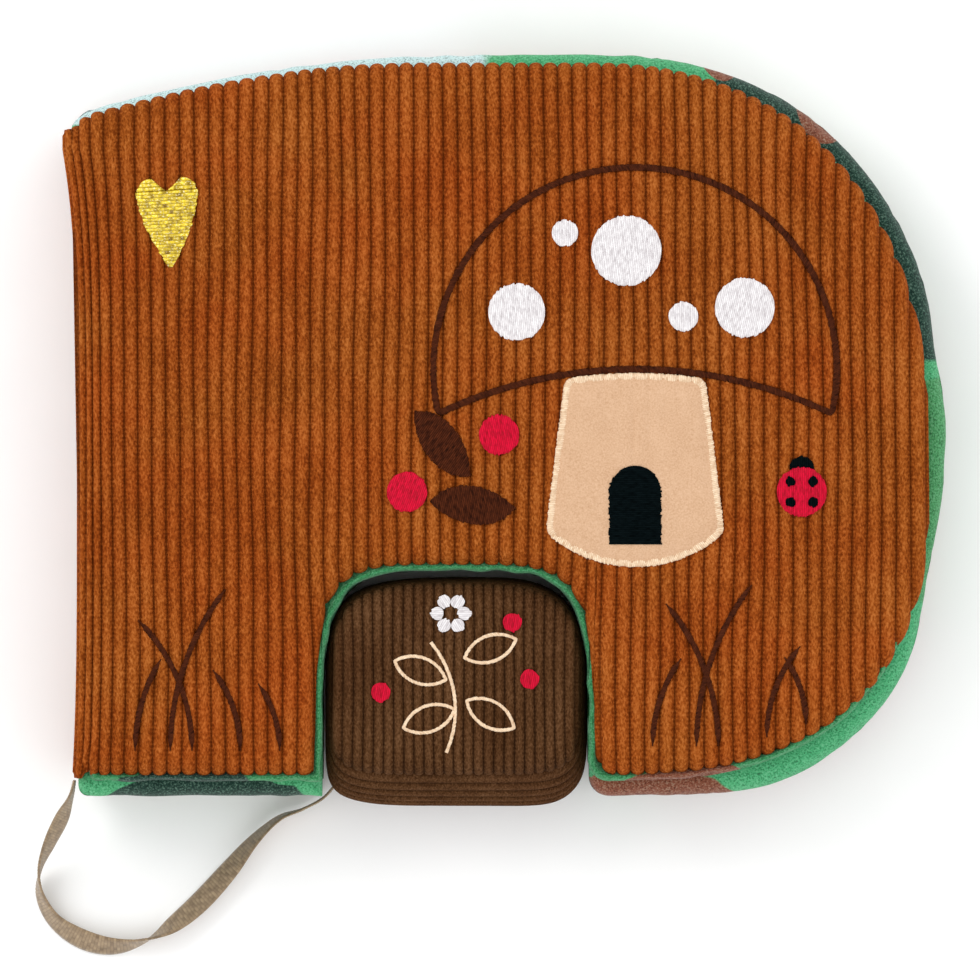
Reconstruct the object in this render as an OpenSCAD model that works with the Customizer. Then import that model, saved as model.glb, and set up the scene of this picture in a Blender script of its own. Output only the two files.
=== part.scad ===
// Padded cloth book with a doorway between its two feet, and a small stuffed pad that
// sits in the doorway on a ribbon. The book lies on its back cover: +Z is up, the spine
// is at -X and the top edge of the cover at +Y. The origin is under the middle of the book.

/* [Book outline] */
// Width over the spine and the leaves
book_w = 202.4; // [180:0.2:230]
// Length over the leaves' top edge and the pad's foot
book_l = 172; // [160:0.5:190]
// Height of the doorway above the feet of the cover
arch_h = 48; // [40:0.5:56]
// Width of the doorway in the cover's lining
arch_w = 61; // [56:0.5:70]
// Distance of the doorway's middle from the book's middle, towards the spine
arch_shift = 11; // [6:0.5:16]
// Drop of the top edge from the middle to the spine
back_drop = 14; // [6:0.5:20]

/* [Covers] */
// Thickness of a padded cover, lining and ribs included
cover_t = 7; // [5.5:0.1:9]
// Thickness of the cover's lining
lining_t = 1.5; // [1:0.1:2]
// Distance that the leaves stand out beyond the cover at the fore edge
leaf_reach = 3.5; // [2:0.1:6]
// Distance that the leaves stand out beyond the cover at the top edge
leaf_reach_top = 2; // [1:0.1:4]
// Distance that the leaves stand out beyond the cover at the feet
leaf_reach_foot = 3.5; // [2:0.1:5]
// Distance that the lining shows beyond the corduroy in the doorway and at the feet
lining_reach = 1.2; // [0.6:0.1:2]
// Width from the hinge line to the stuffed part of a cover
hinge_w = 2.5; // [2.3:0.1:4]
// Radius of the fold of cloth at the hinge
fold_r = 1.9; // [1.4:0.1:1.9]
// Radius of the rolled edge of a cover
roll_r = 4; // [2:0.1:5]

/* [Corduroy] */
// Distance from rib to rib on the covers
rib_pitch = 3.33; // [2.8:0.01:4]
// Height of a rib on the covers
rib_h = 1.2; // [0.6:0.1:1.6]
// Distance from rib to rib on the pad
pad_rib_pitch = 2.3; // [1.8:0.1:3]
// Height of a rib on the pad
pad_rib_h = 0.7; // [0.4:0.1:1]

/* [Leaves] */
// Number of padded leaves
leaf_count = 3; // [2:1:5]
// Thickness of one leaf
leaf_t = 7.9; // [6:0.1:10]

/* [Spine] */
// Thickness of the spine's cloth under its ribs
spine_t = 2; // [1.5:0.1:2.5]

/* [Pad] */
// Width of the pad
pad_w = 60; // [48:0.5:60]
// Gap between the pad and the top of the doorway
pad_gap = 1.5; // [1:0.1:4]
// Height of the pad's top panel above the surface that the book lies on
pad_h = 35.5; // [24:0.5:38]
// Thickness of each panel of the pad
pad_panel_t = 5; // [3:0.1:6]
// Swell of the pad's side band beyond its panels
pad_swell = 2; // [1:0.1:3]
// Distance that the pad's foot leans out from its top panel to its base
pad_lean = 4; // [0:0.5:6]

/* [Embroidery] */
// Height of the stitched pieces above the ribs
stitch_t = 0.8; // [0.5:0.1:1.2]
// Width of an outline in thread
thread_w = 1.5; // [1:0.1:2.5]
// Width of the satin border round the velour
border_w = 1.5; // [1:0.1:2.5]
// Length of a leaf on the cover
leaf_l = 19; // [12:0.5:22]
// Width of a leaf on the cover
leaf_w = 9; // [5:0.5:11]
// Length of a leaf on the pad
pad_leaf_l = 13; // [8:0.5:14]
// Width of a leaf on the pad
pad_leaf_w = 6.5; // [4:0.5:8]
// Radius of the toadstool's cap
cap_r = 46; // [38:0.5:48]
// Width of the toadstool's stem at its top
stem_w = 32; // [24:0.5:40]
// Height of the heart
heart_h = 20.5; // [14:0.5:26]
// Width of the heart
heart_w = 13.7; // [10:0.1:18]

/* [Ribbon] */
// Width of the ribbon
ribbon_w = 6; // [5:0.5:8]
// Thickness of the ribbon
ribbon_t = 0.8; // [0.6:0.1:1.2]

/* [Hidden] */
$fn = 48;

gap = 0.3;                                    // free space between cloths on different bodies
pages_t = leaf_count * leaf_t;
back_axis_z = cover_t;
front_axis_z = cover_t + pages_t + 2 * gap;
ribs_top_z = front_axis_z + cover_t;
face_t = cover_t - lining_t;

leaf_right = book_w / 2;
leaf_top = book_l / 2;
cover_right = leaf_right - leaf_reach;
cover_top = leaf_top - leaf_reach_top;
foot_y = 6 - book_l / 2;
leaf_foot = foot_y - leaf_reach_foot;
spine_rib_r = rib_h;
spine_in_x = -book_w / 2 + spine_rib_r + spine_t;
hinge_x = -book_w / 2 + spine_rib_r + spine_t / 2;
cover_left = hinge_x + hinge_w;
arch_x = -arch_shift;
arch_top = foot_y + arch_h;

round_x = 20;                                 // where the round fore edge starts
widest_y = -5;                                // height of the widest point
slope_x = -20;                                // where the top edge starts to drop
slope_power = 1.9;
top_power = 2.3;
foot_power = 2.8;
arch_power = 4.5;
spine_corner_r = 5;
foot_corner_r = 4.5;

// A shape's limits: left, right, top, foot, half width of the doorway, top of the doorway
lining_limits = [cover_left + 1, cover_right, cover_top, foot_y, arch_w / 2, arch_top];
face_limits = inset(lining_limits, lining_reach, cover_left, cover_right, cover_top);
leaf_limits = [spine_in_x, leaf_right, leaf_top, leaf_foot, arch_w / 2 + 1, arch_top + 1];

function inset(l, d, left, right, top) = [left, right, top, l[3] + d, l[4] + d, l[5] + d];
function shrink(l, d) = [l[0] + d, l[1] - d, l[2] - d, l[3] + d, l[4] + d, l[5] + d];
function bulge(t, power) = pow(max(0, 1 - pow(min(1, abs(t)), power)), 1 / power);
function corner(d, r) = d >= r ? 0 : r - sqrt(max(0, r * r - pow(r - max(0, d), 2)));
function puff(d, r) = d >= r ? 1 : sqrt(max(0, 1 - pow(1 - max(0, d) / r, 2)));
function spread(a, power) = sign(a) * pow(abs(a), 2 / power);

// Top and bottom edge of a shape above a point x
function top_edge(x, l) = x > round_x
    ? widest_y + (l[2] - widest_y) * bulge((x - round_x) / (l[1] - round_x), top_power)
    : l[2] - slope_drop(x) - corner(x - l[0], spine_corner_r);
function slope_drop(x) = back_drop * pow(max(0, (slope_x - x) / (slope_x + book_w / 2)), slope_power);
function bottom_edge(x, l) = max(foot_edge(x, l), arch_edge(x, l));
function arch_edge(x, l) = l[3] + (l[5] - l[3]) * bulge((x - arch_x) / l[4], arch_power);
function foot_edge(x, l) = x > round_x + foot_corner_r
    ? widest_y - (widest_y - l[3]) * bulge((x - round_x) / (l[1] - round_x), foot_power)
    : l[3] + (x < arch_x ? corner(x - l[0], spine_corner_r / 2)
        : corner(x - arch_x - l[4], foot_corner_r));

// Distance from a point inside a shape to its edge, square to the edge
function slope_of(x, l, top) = top ? (top_edge(x + 0.1, l) - top_edge(x - 0.1, l)) / 0.2
    : (bottom_edge(x + 0.1, l) - bottom_edge(x - 0.1, l)) / 0.2;
function wall_distance(x, y, l) = y > l[5] ? book_w
    : abs(x - arch_x) - l[4] * bulge((y - l[3]) / (l[5] - l[3]), arch_power);
function edge_distance(x, y, l) = min(
    (top_edge(x, l) - y) / sqrt(1 + pow(slope_of(x, l, true), 2)),
    (y - bottom_edge(x, l)) / sqrt(1 + pow(slope_of(x, l, false), 2)),
    x - l[0],
    max(0, abs(x - arch_x) < l[4] * 0.97 ? book_w : wall_distance(x, y, l)));

// The lower line of a shape, from the spine along the feet and round the doorway to the fore edge
function foot_line(l) = concat(
    [for (a = [180:30:270]) [l[0] + spine_corner_r / 2 * (1 + cos(a)),
        l[3] + spine_corner_r / 2 * (1 + sin(a))]],
    [for (s = [0:0.5:0.5]) let (x = l[0] + spine_corner_r)
        [x + s * (arch_x - l[4] - x), l[3]]],
    [for (a = [180:-14:12]) [arch_x + l[4] * spread(cos(a), arch_power),
        l[3] + (l[5] - l[3]) * spread(sin(a), arch_power)]],
    [for (a = [180:30:270]) [arch_x + l[4] + foot_corner_r * (1 + cos(a)),
        l[3] + foot_corner_r * (1 + sin(a))]],
    [for (a = [each [-78:9:-6], -0.4]) [round_x + (l[1] - round_x) * spread(cos(a), foot_power),
        widest_y + (widest_y - l[3]) * spread(sin(a), foot_power)]]);

// The outline of a shape as one closed line, with a point of the top edge over each lower point
function outline(l) = let (low = foot_line(l))
    concat(low, [for (p = reversed(low)) [p[0], top_edge(p[0], l)]]);

// A closed skin through rings of points, all with the same number of points. A hollow outline has
// its ends filled in strips, from each point to the one as far from the other end of the ring.
module skin(rings, strips = false) {
    n = len(rings[0]);
    last = (len(rings) - 1) * n;
    end = strips ? [for (i = [0:n / 2 - 2]) [i, i + 1, n - 2 - i, n - 1 - i]] : [[for (i = [0:n - 1]) i]];
    sides = [for (r = [0:len(rings) - 2], i = [0:n - 1]) let (j = (i + 1) % n)
        each [[r * n + i, (r + 1) * n + i, (r + 1) * n + j], [r * n + i, (r + 1) * n + j, r * n + j]]];
    ends = concat(end, [for (face = end) [for (i = reversed(face)) last + i]]);
    polyhedron(points = [for (ring = rings) each ring], faces = concat(sides, ends), convexity = 6);
}

function reversed(list) = [for (k = [len(list) - 1:-1:0]) list[k]];

// One cut across a ribbed panel: flat below, rolled at both ends, as high as its rib is there
function panel_cut(x, low, high, height, rib, depths) = let (
        room = high - low,
        share = min(1, room * 0.45 / max(depths)),
        middle = room > 8 * roll_r ? [0.25, 0.5, 0.75] : [0.47, 0.5, 0.53],
        ys = concat([for (d = depths) low + share * d], [for (m = middle) low + room * m],
            [for (d = reversed(depths)) high - share * d]))
    concat([[x, low, 0]], [for (y = ys) [x, y, height(x, y, rib)]], [[x, high, 0]]);

// A padded cover face lying on z = 0, with ribs along Y on its upper side
module ribbed_face(shape, depths) {
    steps = len(shape);
    count = floor((face_limits[1] - 0.2 - face_limits[0]) / rib_pitch * steps);
    function face_height(x, y, rib) = let (d = edge_distance(x, y, face_limits))
        0.8 + (face_t - rib_h - 0.8) * puff(d, roll_r) + rib_h * rib * puff(d, rib_h);
    skin([for (i = [count:-1:0]) let (x = face_limits[0] + i * rib_pitch / steps)
        panel_cut(x, bottom_edge(x, face_limits), top_edge(x, face_limits),
            function(a, b, c) face_height(a, b, c), shape[i % steps], depths)]);
}

// The fold of cloth that hinges a cover to the spine, with the hinge line on the Y axis
module hinge_fold() {
    length = top_edge(cover_left + spine_corner_r, face_limits) - foot_y - spine_corner_r;
    translate([0, foot_y + spine_corner_r / 2, 0]) rotate([-90, 0, 0]) cylinder(r = fold_r, h = length);
    translate([0, foot_y + spine_corner_r / 2, 0.2]) cube([hinge_w + 1, length, fold_r - 0.2]);
}

module front_cover_face() {
    color("#a5581c") union() {
        translate([0, 0, front_axis_z + lining_t]) ribbed_face([0, 0.8, 1, 0.8], [0, 1, 3.2]);
        translate([hinge_x, 0, front_axis_z]) hinge_fold();
    }
}

module front_cover_lining() {
    color("#2f9a56") translate([0, 0, front_axis_z])
        linear_extrude(lining_t) polygon(outline(lining_limits));
}

// The ribs on the back are pressed flat where the book rests on them
module back_cover_face() {
    color("#a5581c") union() {
        translate([0, 0, face_t]) mirror([0, 0, 1]) ribbed_face([0, 1, 1], [0, 2.2]);
        translate([hinge_x, 0, back_axis_z]) mirror([0, 0, 1]) hinge_fold();
    }
}

module back_cover_lining() {
    color("#2f9a56") translate([0, 0, face_t])
        linear_extrude(lining_t) polygon(outline(lining_limits));
}

// Corduroy strip between the two hinge folds, with its ribs along the spine
module spine() {
    low = back_axis_z + fold_r + gap;
    high = front_axis_z - fold_r - gap;
    count = floor((high - low) / rib_pitch);
    start = (low + high) / 2 - (count - 1) / 2 * rib_pitch;
    length = top_edge(cover_left + spine_corner_r, face_limits) - foot_y;
    color("#a5581c") translate([0, foot_y + length, 0]) rotate([90, 0, 0]) linear_extrude(length) {
        translate([spine_in_x - spine_t, low]) square([spine_t, high - low]);
        for (i = [0:count - 1])
            translate([spine_in_x - spine_t, start + i * rib_pitch]) circle(r = spine_rib_r);
    }
}

// All leaves as one block, with a round edge on each leaf and a crease between them
module pages() {
    half = leaf_t / 2;
    color("#3f9e58") skin([for (k = [0:leaf_count - 1], a = [-62:31:62])
        let (z = cover_t + gap + (k + 0.5) * leaf_t + half * (abs(a) > 60 ? sign(a) : sin(a)))
        [for (p = outline(shrink(leaf_limits, half * (1 - cos(a))))) [p[0], p[1],
            abs(a) > 60 && (k > 0 || a > 0) && (k < leaf_count - 1 || a < 0) ? z - sign(a) * 0.05 : z]]],
        strips = true);
}

pad_top_y = arch_top - pad_gap;
pad_foot_y = -book_l / 2;
pad_half_w = pad_w / 2 - pad_swell;
pad_top_power = 3.4;
pad_foot_power = 6;                           // the pad's lower corners are the tighter ones

// Middle and half length of the pad's outline at a share of its height, 0 at the base
function pad_mid(share) = (pad_top_y + pad_foot_y + pad_lean * share) / 2;
function pad_half(share) = (pad_top_y - pad_foot_y - pad_lean * share) / 2 - pad_swell;
function pad_power(side) = side > 0 ? pad_top_power : pad_foot_power;

// Edge of the pad over a point x, on its upper side (1) or its lower side (-1)
function pad_edge(x, share, side) = pad_mid(share)
    + side * pad_half(share) * bulge((x - arch_x) / pad_half_w, pad_power(side));
function pad_ring(share, swell, z) = [for (a = [0:12:348]) let (power = pad_power(sin(a))) [
    arch_x + (pad_half_w + swell) * spread(cos(a), power),
    pad_mid(share) + (pad_half(share) + swell) * spread(sin(a), power), z]];

// Ribbed panel of the pad lying on z = 0
module pad_panel(share, shape, depths) {
    steps = len(shape);
    margin = 0.2;
    count = floor(2 * (pad_half_w - margin) / pad_rib_pitch * steps);
    function reach(x, y, side) = let (
            slope = (pad_edge(x + 0.1, share, side) - pad_edge(x - 0.1, share, side)) / 0.2)
        side * (pad_edge(x, share, side) - y) / sqrt(1 + slope * slope);
    function panel_height(x, y, rib) = let (
            d = min(pad_half_w - abs(x - arch_x), reach(x, y, 1), reach(x, y, -1)))
        0.6 + (pad_panel_t - pad_rib_h - 0.6) * puff(d, roll_r * 1.5) + pad_rib_h * rib * puff(d, 1);
    skin([for (i = [count:-1:0]) let (x = arch_x - pad_half_w + margin + i * pad_rib_pitch / steps)
        panel_cut(x, pad_edge(x, share, -1), pad_edge(x, share, 1),
            function(a, b, c) panel_height(a, b, c), shape[i % steps], depths)]);
}

module pad_top() {
    color("#4a2f20") translate([0, 0, pad_h - pad_panel_t]) pad_panel(1, [0, 1, 1], [0, 1, 3.5]);
}

module pad_base() {
    color("#4a2f20") translate([0, 0, pad_panel_t]) mirror([0, 0, 1]) pad_panel(0, [0, 1], [0, 2.5]);
}

// Band of corduroy round the pad's side, stuffed, with its ribs running round it
module pad_side_band() {
    height = pad_h - 2 * pad_panel_t;
    ribs = round(height / pad_rib_pitch);
    color("#45301f") translate([0, 0, pad_panel_t])
        skin([for (i = [0:2 * ribs]) let (
                share = i / (2 * ribs),
                swell = pad_swell * sqrt(1 - pow(2 * share - 1, 2)),
                groove = i % 2 == 0 ? pad_rib_h * sin(180 * share) : 0)
            pad_ring(share, swell - groove, height * share)]);
}

cap_at = [30, 14];                            // middle of the toadstool's cap
under_cap_r = 104;                            // radius of the cap's lower edge
under_cap_y = -90;
stem_foot_y = -31;
stem_foot_w = 42;

// Places a flat stitched piece on the ribs of the front cover
module on_cover(height = stitch_t) {
    translate([0, 0, ribs_top_z]) linear_extrude(height) children();
}

module disc(at, r) {
    translate(at) circle(r = r);
}

// A band of thread along an arc
module arc_band(at, r, from, to, w = thread_w) {
    reach = 2 * r + w;
    middle = (from + to) / 2;
    translate(at) intersection() {
        difference() {
            circle(r = r + w / 2);
            circle(r = r - w / 2);
        }
        polygon([[0, 0], [reach * cos(from), reach * sin(from)],
            [reach * cos(middle), reach * sin(middle)], [reach * cos(to), reach * sin(to)]]);
    }
}

module cap_shape(grow) {
    difference() {
        disc(cap_at, cap_r + grow);
        disc([cap_at[0], under_cap_y], under_cap_r - grow);
    }
}

module stem_shape(grow) {
    top_y = under_cap_y + under_cap_r;
    intersection() {
        disc([cap_at[0], under_cap_y], under_cap_r - thread_w / 2 - gap + grow);
        disc([cap_at[0], stem_foot_y + stem_foot_w * 0.72], stem_foot_w * 0.72 + grow);
        polygon([[cap_at[0] - stem_w / 2 - grow, top_y], [cap_at[0] - stem_foot_w / 2 - grow, stem_foot_y - 2],
            [cap_at[0] + stem_foot_w / 2 + grow, stem_foot_y - 2], [cap_at[0] + stem_w / 2 + grow, top_y]]);
    }
}

module toadstool_outline() {
    color("#3a1c14") on_cover() difference() {
        cap_shape(thread_w / 2);
        cap_shape(-thread_w / 2);
    }
}

module stem_patch() {
    color("#dfab78") on_cover() stem_shape(-border_w);
}

module stem_border() {
    color("#f3d9b4") on_cover(stitch_t + 0.4) difference() {
        stem_shape(0);
        stem_shape(-border_w);
    }
}

door_w = 12;
door_h = 18;
door_at = [cap_at[0], stem_foot_y + 5];

module door_patch() {
    color("#1c1c1e") translate([0, 0, ribs_top_z + stitch_t]) linear_extrude(stitch_t) {
        translate([door_at[0] - door_w / 2, door_at[1]]) square([door_w, door_h - door_w / 2]);
        disc(door_at + [0, door_h - door_w / 2], door_w / 2);
    }
}

module white_spots() {
    color("white") on_cover() {
        disc(cap_at + [-2, 27], 8);
        disc(cap_at + [-27, 13], 6.5);
        disc(cap_at + [25, 14], 6.8);
        disc(cap_at + [-16, 31], 3);
        disc(cap_at + [11, 12], 3.4);
    }
}

module red_berries() {
    color("#d5203c") on_cover() {
        disc([-22, -14], 4.6);
        disc([-1, -1], 4.6);
    }
}

// A pointed leaf between two arcs
module leaf_shape(at, turn, length, width) {
    r = (length * length / 4 + width * width / 4) / width;
    translate(at) rotate(turn) intersection() {
        translate([0, r - width / 2]) circle(r = r);
        translate([0, width / 2 - r]) circle(r = r);
    }
}

module leaf_patches() {
    color("#5b2b1b") on_cover() {
        leaf_shape([-14, -3], 145, leaf_l, leaf_w);
        leaf_shape([-7, -17], 190, leaf_l, leaf_w);
    }
}

ladybird_at = [cover_right - 29.7, -14];
ladybird_r = 5.7;

module ladybird_shell() {
    color("#d5203c") on_cover() disc(ladybird_at, ladybird_r);
}

module ladybird_marks() {
    color("#1c1c1e") translate([0, 0, ribs_top_z + stitch_t]) linear_extrude(stitch_t / 2)
        for (side = [-1, 1], row = [-1, 1])
            disc(ladybird_at + [side * ladybird_r / 2.2, row * ladybird_r / 2.4], ladybird_r / 5);
    color("#1c1c1e") on_cover() difference() {
        disc(ladybird_at + [0, ladybird_r], ladybird_r / 2);
        disc(ladybird_at, ladybird_r);
    }
}

// Blades of grass: foot, radius, side that they lean to, and share of a quarter turn
grass = [[[-84, -73], 40, 1, 0.35], [[-76, -73], 60, 1, 0.42], [[-71, -73], 42, -1, 0.5],
    [[-60, -73], 30, -1, 0.42], [[-51, -73], 26, -1, 0.4], [[34, -72], 34, 1, 0.4],
    [[44, -72], 60, 1, 0.42], [[49, -72], 50, -1, 0.45], [[60, -70], 32, 1, 0.45], [[69, -67], 26, -1, 0.4]];

module grass_stitching() {
    color("#3a1c14") on_cover() for (blade = grass)
        arc_band(blade[0] + [blade[2] * blade[1], 0], blade[1],
            blade[2] > 0 ? 180 - 90 * blade[3] : 0, blade[2] > 0 ? 180 : 90 * blade[3]);
}

heart_at = [cover_left + 20.5, 47.5];

module heart_patch() {
    lobe = heart_w / 4 + 0.3;
    low = heart_h / 2 - lobe;
    color("#e2c021") on_cover() translate(heart_at) {
        for (side = [-1, 1])
            translate([side * (heart_w / 2 - lobe), low]) circle(r = lobe);
        polygon([[-heart_w / 2 + 0.3, low - 1.3], [0, -heart_h / 2], [heart_w / 2 - 0.3, low - 1.3],
            [0, low + lobe / 2]]);
    }
}

// Places a flat stitched piece on the top of the pad, given from the pad's middle
module on_pad(height = stitch_t) {
    translate([arch_x, pad_mid(1), pad_h]) linear_extrude(height) children();
}

// A leafy sprig in an outline of thread
module pad_outline() {
    w = thread_w / 2;
    color("#e9d3ac") on_pad() {
        arc_band([-24, -6], 24, -24, 40, w);
        for (blade = [[[-8, 3], 160], [[-6, -8], 200], [[8, 8], 20], [[8, -7], 330]])
            translate(blade[0]) rotate(blade[1]) difference() {
                leaf_shape([0, 0], 0, pad_leaf_l, pad_leaf_w);
                leaf_shape([0, 0], 0, pad_leaf_l - 2.4 * w, pad_leaf_w - 2 * w);
            }
    }
}

daisy_at = [-1, 16];

module pad_daisy() {
    color("white") on_pad() for (a = [0:60:300])
        disc(daisy_at + 3.1 * [cos(a), sin(a)], 1.5);
}

module pad_berries() {
    color("#d5203c") on_pad() {
        disc([13, 14], 2.2);
        disc([17, 1], 2.2);
        disc([-17, -2], 2.2);
    }
}

// The ribbon's route, from the spine's foot to the pad: x, y, z and the lean from upright
ribbon_route = [[-99, -80.3, 19, 0], [-99.4, -84, 17.5, 8], [-101.5, -89, 14, 30], [-104.5, -95, 9.5, 25],
    [-106.8, -101, 5.5, 5], [-106.8, -107, 3.6, -20], [-103.4, -113, 3, -35], [-97, -117.2, 2.6, -50],
    [-90, -118.8, 2.8, -40], [-83, -117.6, 3.2, -10], [-76.5, -114, 3, 35], [-70, -108.6, 2.6, 50],
    [-63.5, -101.5, 2.8, 45], [-57.6, -94.4, 3.2, 25], [-51.8, -89.3, 3.8, 10], [-46.4, -87.2, 4.6, 0],
    [-41.6, -84.6, 5.4, 0], [-38.5, -81.2, 6, 0]];
ribbon_steps = 3;                             // rings from one point of the route to the next

function curve(p, q, r, s, t) = 0.5 * (2 * q + (r - p) * t + (2 * p - 5 * q + 4 * r - s) * t * t
    + (3 * q - p - 3 * r + s) * t * t * t);
function route_at(k) = ribbon_route[max(0, min(len(ribbon_route) - 1, k))];
function ribbon_point(i) = let (k = floor(i / ribbon_steps), t = i / ribbon_steps - k)
    curve(route_at(k - 1), route_at(k), route_at(k + 1), route_at(k + 2), t);
ribbon_section = [[0.5, 0.25], [0.45, 0.5], [-0.45, 0.5], [-0.5, 0.25],
    [-0.5, -0.25], [-0.45, -0.5], [0.45, -0.5], [0.5, -0.25]];

module ribbon() {
    count = (len(ribbon_route) - 1) * ribbon_steps;
    color("#b39a76") skin([for (i = [0:count]) let (
            here = ribbon_point(i),
            ahead = ribbon_point(min(count, i + 0.5)) - ribbon_point(max(0, i - 0.5)),
            flat = norm([ahead[0], ahead[1]]),
            side = [ahead[1], -ahead[0], 0] / flat,
            along = [cos(here[3]) * [0, 0, 1] + sin(here[3]) * side],
            across = [sin(here[3]) * [0, 0, -1] + cos(here[3]) * side])
        [for (c = ribbon_section) [here[0], here[1], here[2]] + ribbon_w * c[0] * along[0]
            + ribbon_t * c[1] * across[0]]]);
}

front_cover_face();
front_cover_lining();
back_cover_face();
back_cover_lining();
spine();
pages();
pad_top();
pad_side_band();
pad_base();
toadstool_outline();
stem_patch();
stem_border();
door_patch();
white_spots();
red_berries();
leaf_patches();
ladybird_shell();
ladybird_marks();
grass_stitching();
heart_patch();
pad_outline();
pad_daisy();
pad_berries();
ribbon();
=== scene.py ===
import bmesh
import bpy
import numpy as np
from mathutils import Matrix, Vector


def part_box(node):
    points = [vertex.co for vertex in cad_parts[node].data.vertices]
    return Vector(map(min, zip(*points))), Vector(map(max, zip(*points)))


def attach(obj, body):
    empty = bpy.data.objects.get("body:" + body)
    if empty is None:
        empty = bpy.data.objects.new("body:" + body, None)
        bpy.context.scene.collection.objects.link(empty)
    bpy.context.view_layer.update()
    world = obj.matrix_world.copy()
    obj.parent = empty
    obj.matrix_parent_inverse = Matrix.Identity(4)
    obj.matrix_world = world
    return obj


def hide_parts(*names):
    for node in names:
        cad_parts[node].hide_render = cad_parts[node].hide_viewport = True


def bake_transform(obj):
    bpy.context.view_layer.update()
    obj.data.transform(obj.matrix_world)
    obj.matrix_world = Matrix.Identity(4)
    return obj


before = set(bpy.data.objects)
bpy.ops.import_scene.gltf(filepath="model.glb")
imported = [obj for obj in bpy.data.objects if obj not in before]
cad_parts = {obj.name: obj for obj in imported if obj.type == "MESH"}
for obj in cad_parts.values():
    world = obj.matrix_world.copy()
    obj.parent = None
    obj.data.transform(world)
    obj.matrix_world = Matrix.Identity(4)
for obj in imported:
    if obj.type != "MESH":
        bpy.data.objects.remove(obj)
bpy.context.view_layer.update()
print("frame loaded,", len(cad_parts), "nodes")

mm = 0.001                                    # lengths here are in millimetres, meshes in metres
rng = np.random.default_rng(11)


def boxOf(name):                              # lowest and highest corner of a CAD node
    low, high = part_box(name)
    return np.array(low) / mm, np.array(high) / mm


liningLow, liningHigh = boxOf("front_cover_lining")
faceHigh = boxOf("front_cover_face")[1]
leafLow, leafHigh = boxOf("pages")
backLow, backHigh = boxOf("back_cover_lining")
backAxis = backHigh[2]
frontAxis = liningLow[2]

picture = {
    "middle": (-3.08, -13.57),                # point of the cover in the middle of the picture
    "height": 3000,                           # camera above the ribs
    "width": 223.4,                           # width that the picture takes in
    "sensor": 36,
}
camera = bpy.data.objects.new("camera", bpy.data.cameras.new("camera"))
bpy.context.scene.collection.objects.link(camera)
camera.data.sensor_width = picture["sensor"]
camera.data.lens = picture["sensor"] * picture["height"] / picture["width"]
camera.location = (picture["middle"][0] * mm, picture["middle"][1] * mm,
                   (faceHigh[2] + picture["height"]) * mm)
bpy.context.scene.camera = camera
bpy.context.scene.view_settings.view_transform = "Standard"
print("camera placed")


# Puts whole arrays into a mesh: points n by 3, quads m by 4, caps as rings of indices, and one uv
# pair for each point, then turns all faces outwards, by the sign of the volume they enclose
def writeMesh(name, points, quads, caps=(), uv=None):
    mesh = bpy.data.meshes.new(name)
    loops = np.concatenate([quads.ravel()] + [np.asarray(cap) for cap in caps]).astype(np.int32)
    sizes = np.array([4] * len(quads) + [len(cap) for cap in caps])
    mesh.vertices.add(len(points))
    mesh.vertices.foreach_set("co", (points * mm).astype(np.float32).ravel())
    mesh.loops.add(len(loops))
    mesh.loops.foreach_set("vertex_index", loops)
    mesh.polygons.add(len(sizes))
    mesh.polygons.foreach_set("loop_start", (np.cumsum(sizes) - sizes).astype(np.int32))
    mesh.update(calc_edges=True)
    if uv is not None:
        layer = mesh.uv_layers.new(name="weave")
        layer.data.foreach_set("uv", uv[loops].astype(np.float32).ravel())
    mesh.polygons.foreach_set("use_smooth", np.ones(len(sizes), bool))
    mesh.validate()
    edit = bmesh.new()
    edit.from_mesh(mesh)
    bmesh.ops.recalc_face_normals(edit, faces=edit.faces)
    if edit.calc_volume(signed=True) < 0:
        bmesh.ops.reverse_faces(edit, faces=edit.faces)
    edit.to_mesh(mesh)
    edit.free()
    obj = bpy.data.objects.new(name, mesh)
    bpy.context.scene.collection.objects.link(obj)
    return obj


# Quads that join ring k to ring k + 1; the rings are closed round, and the last meets the first where
# closed is set
def ringQuads(count, size, start=0, closed=False):
    k = np.arange(count if closed else count - 1)[:, None]
    j = np.arange(size)[None, :]
    after = (k + 1) % count * size
    corners = [k * size + j, k * size + (j + 1) % size, after + (j + 1) % size, after + j]
    return np.stack(np.broadcast_arrays(*corners), -1).reshape(-1, 4) + start


# A closed skin through rings, an array of ring by point by xyz
def skin(name, rings, uv, closed=False):
    count, size = rings.shape[:2]
    caps = [] if closed else [np.arange(size), np.arange(size) + (count - 1) * size]
    return writeMesh(name, rings.reshape(-1, 3), ringQuads(count, size, closed=closed), caps,
                     uv.reshape(-1, 2))


# Several closed skins in one mesh, each given as (rings, uv, closed)
def skins(name, parts):
    points, quads, caps, uvs, start = [], [], [], [], 0
    for rings, uv, closed in parts:
        count, size = rings.shape[:2]
        points.append(rings.reshape(-1, 3))
        uvs.append(uv.reshape(-1, 2))
        quads.append(ringQuads(count, size, start, closed))
        if not closed:
            caps += [np.arange(size) + start, np.arange(size) + start + (count - 1) * size]
        start += count * size
    return writeMesh(name, np.concatenate(points), np.concatenate(quads), caps, np.concatenate(uvs))


def bulge(t, power):                          # superellipse: power-th root of 1 - |t| to the power
    return np.maximum(0, 1 - np.minimum(1, np.abs(t)) ** power) ** (1 / power)


def corner(d, r):                             # drop of a quarter-round corner at d from its side
    return r - np.sqrt(r * r - (r - np.clip(d, 0, r)) ** 2)


def puff(d, r):                               # quarter circle that is full at r from the edge
    return np.sqrt(np.maximum(0, 1 - (1 - np.clip(d / r, 0, 1)) ** 2))


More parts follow.
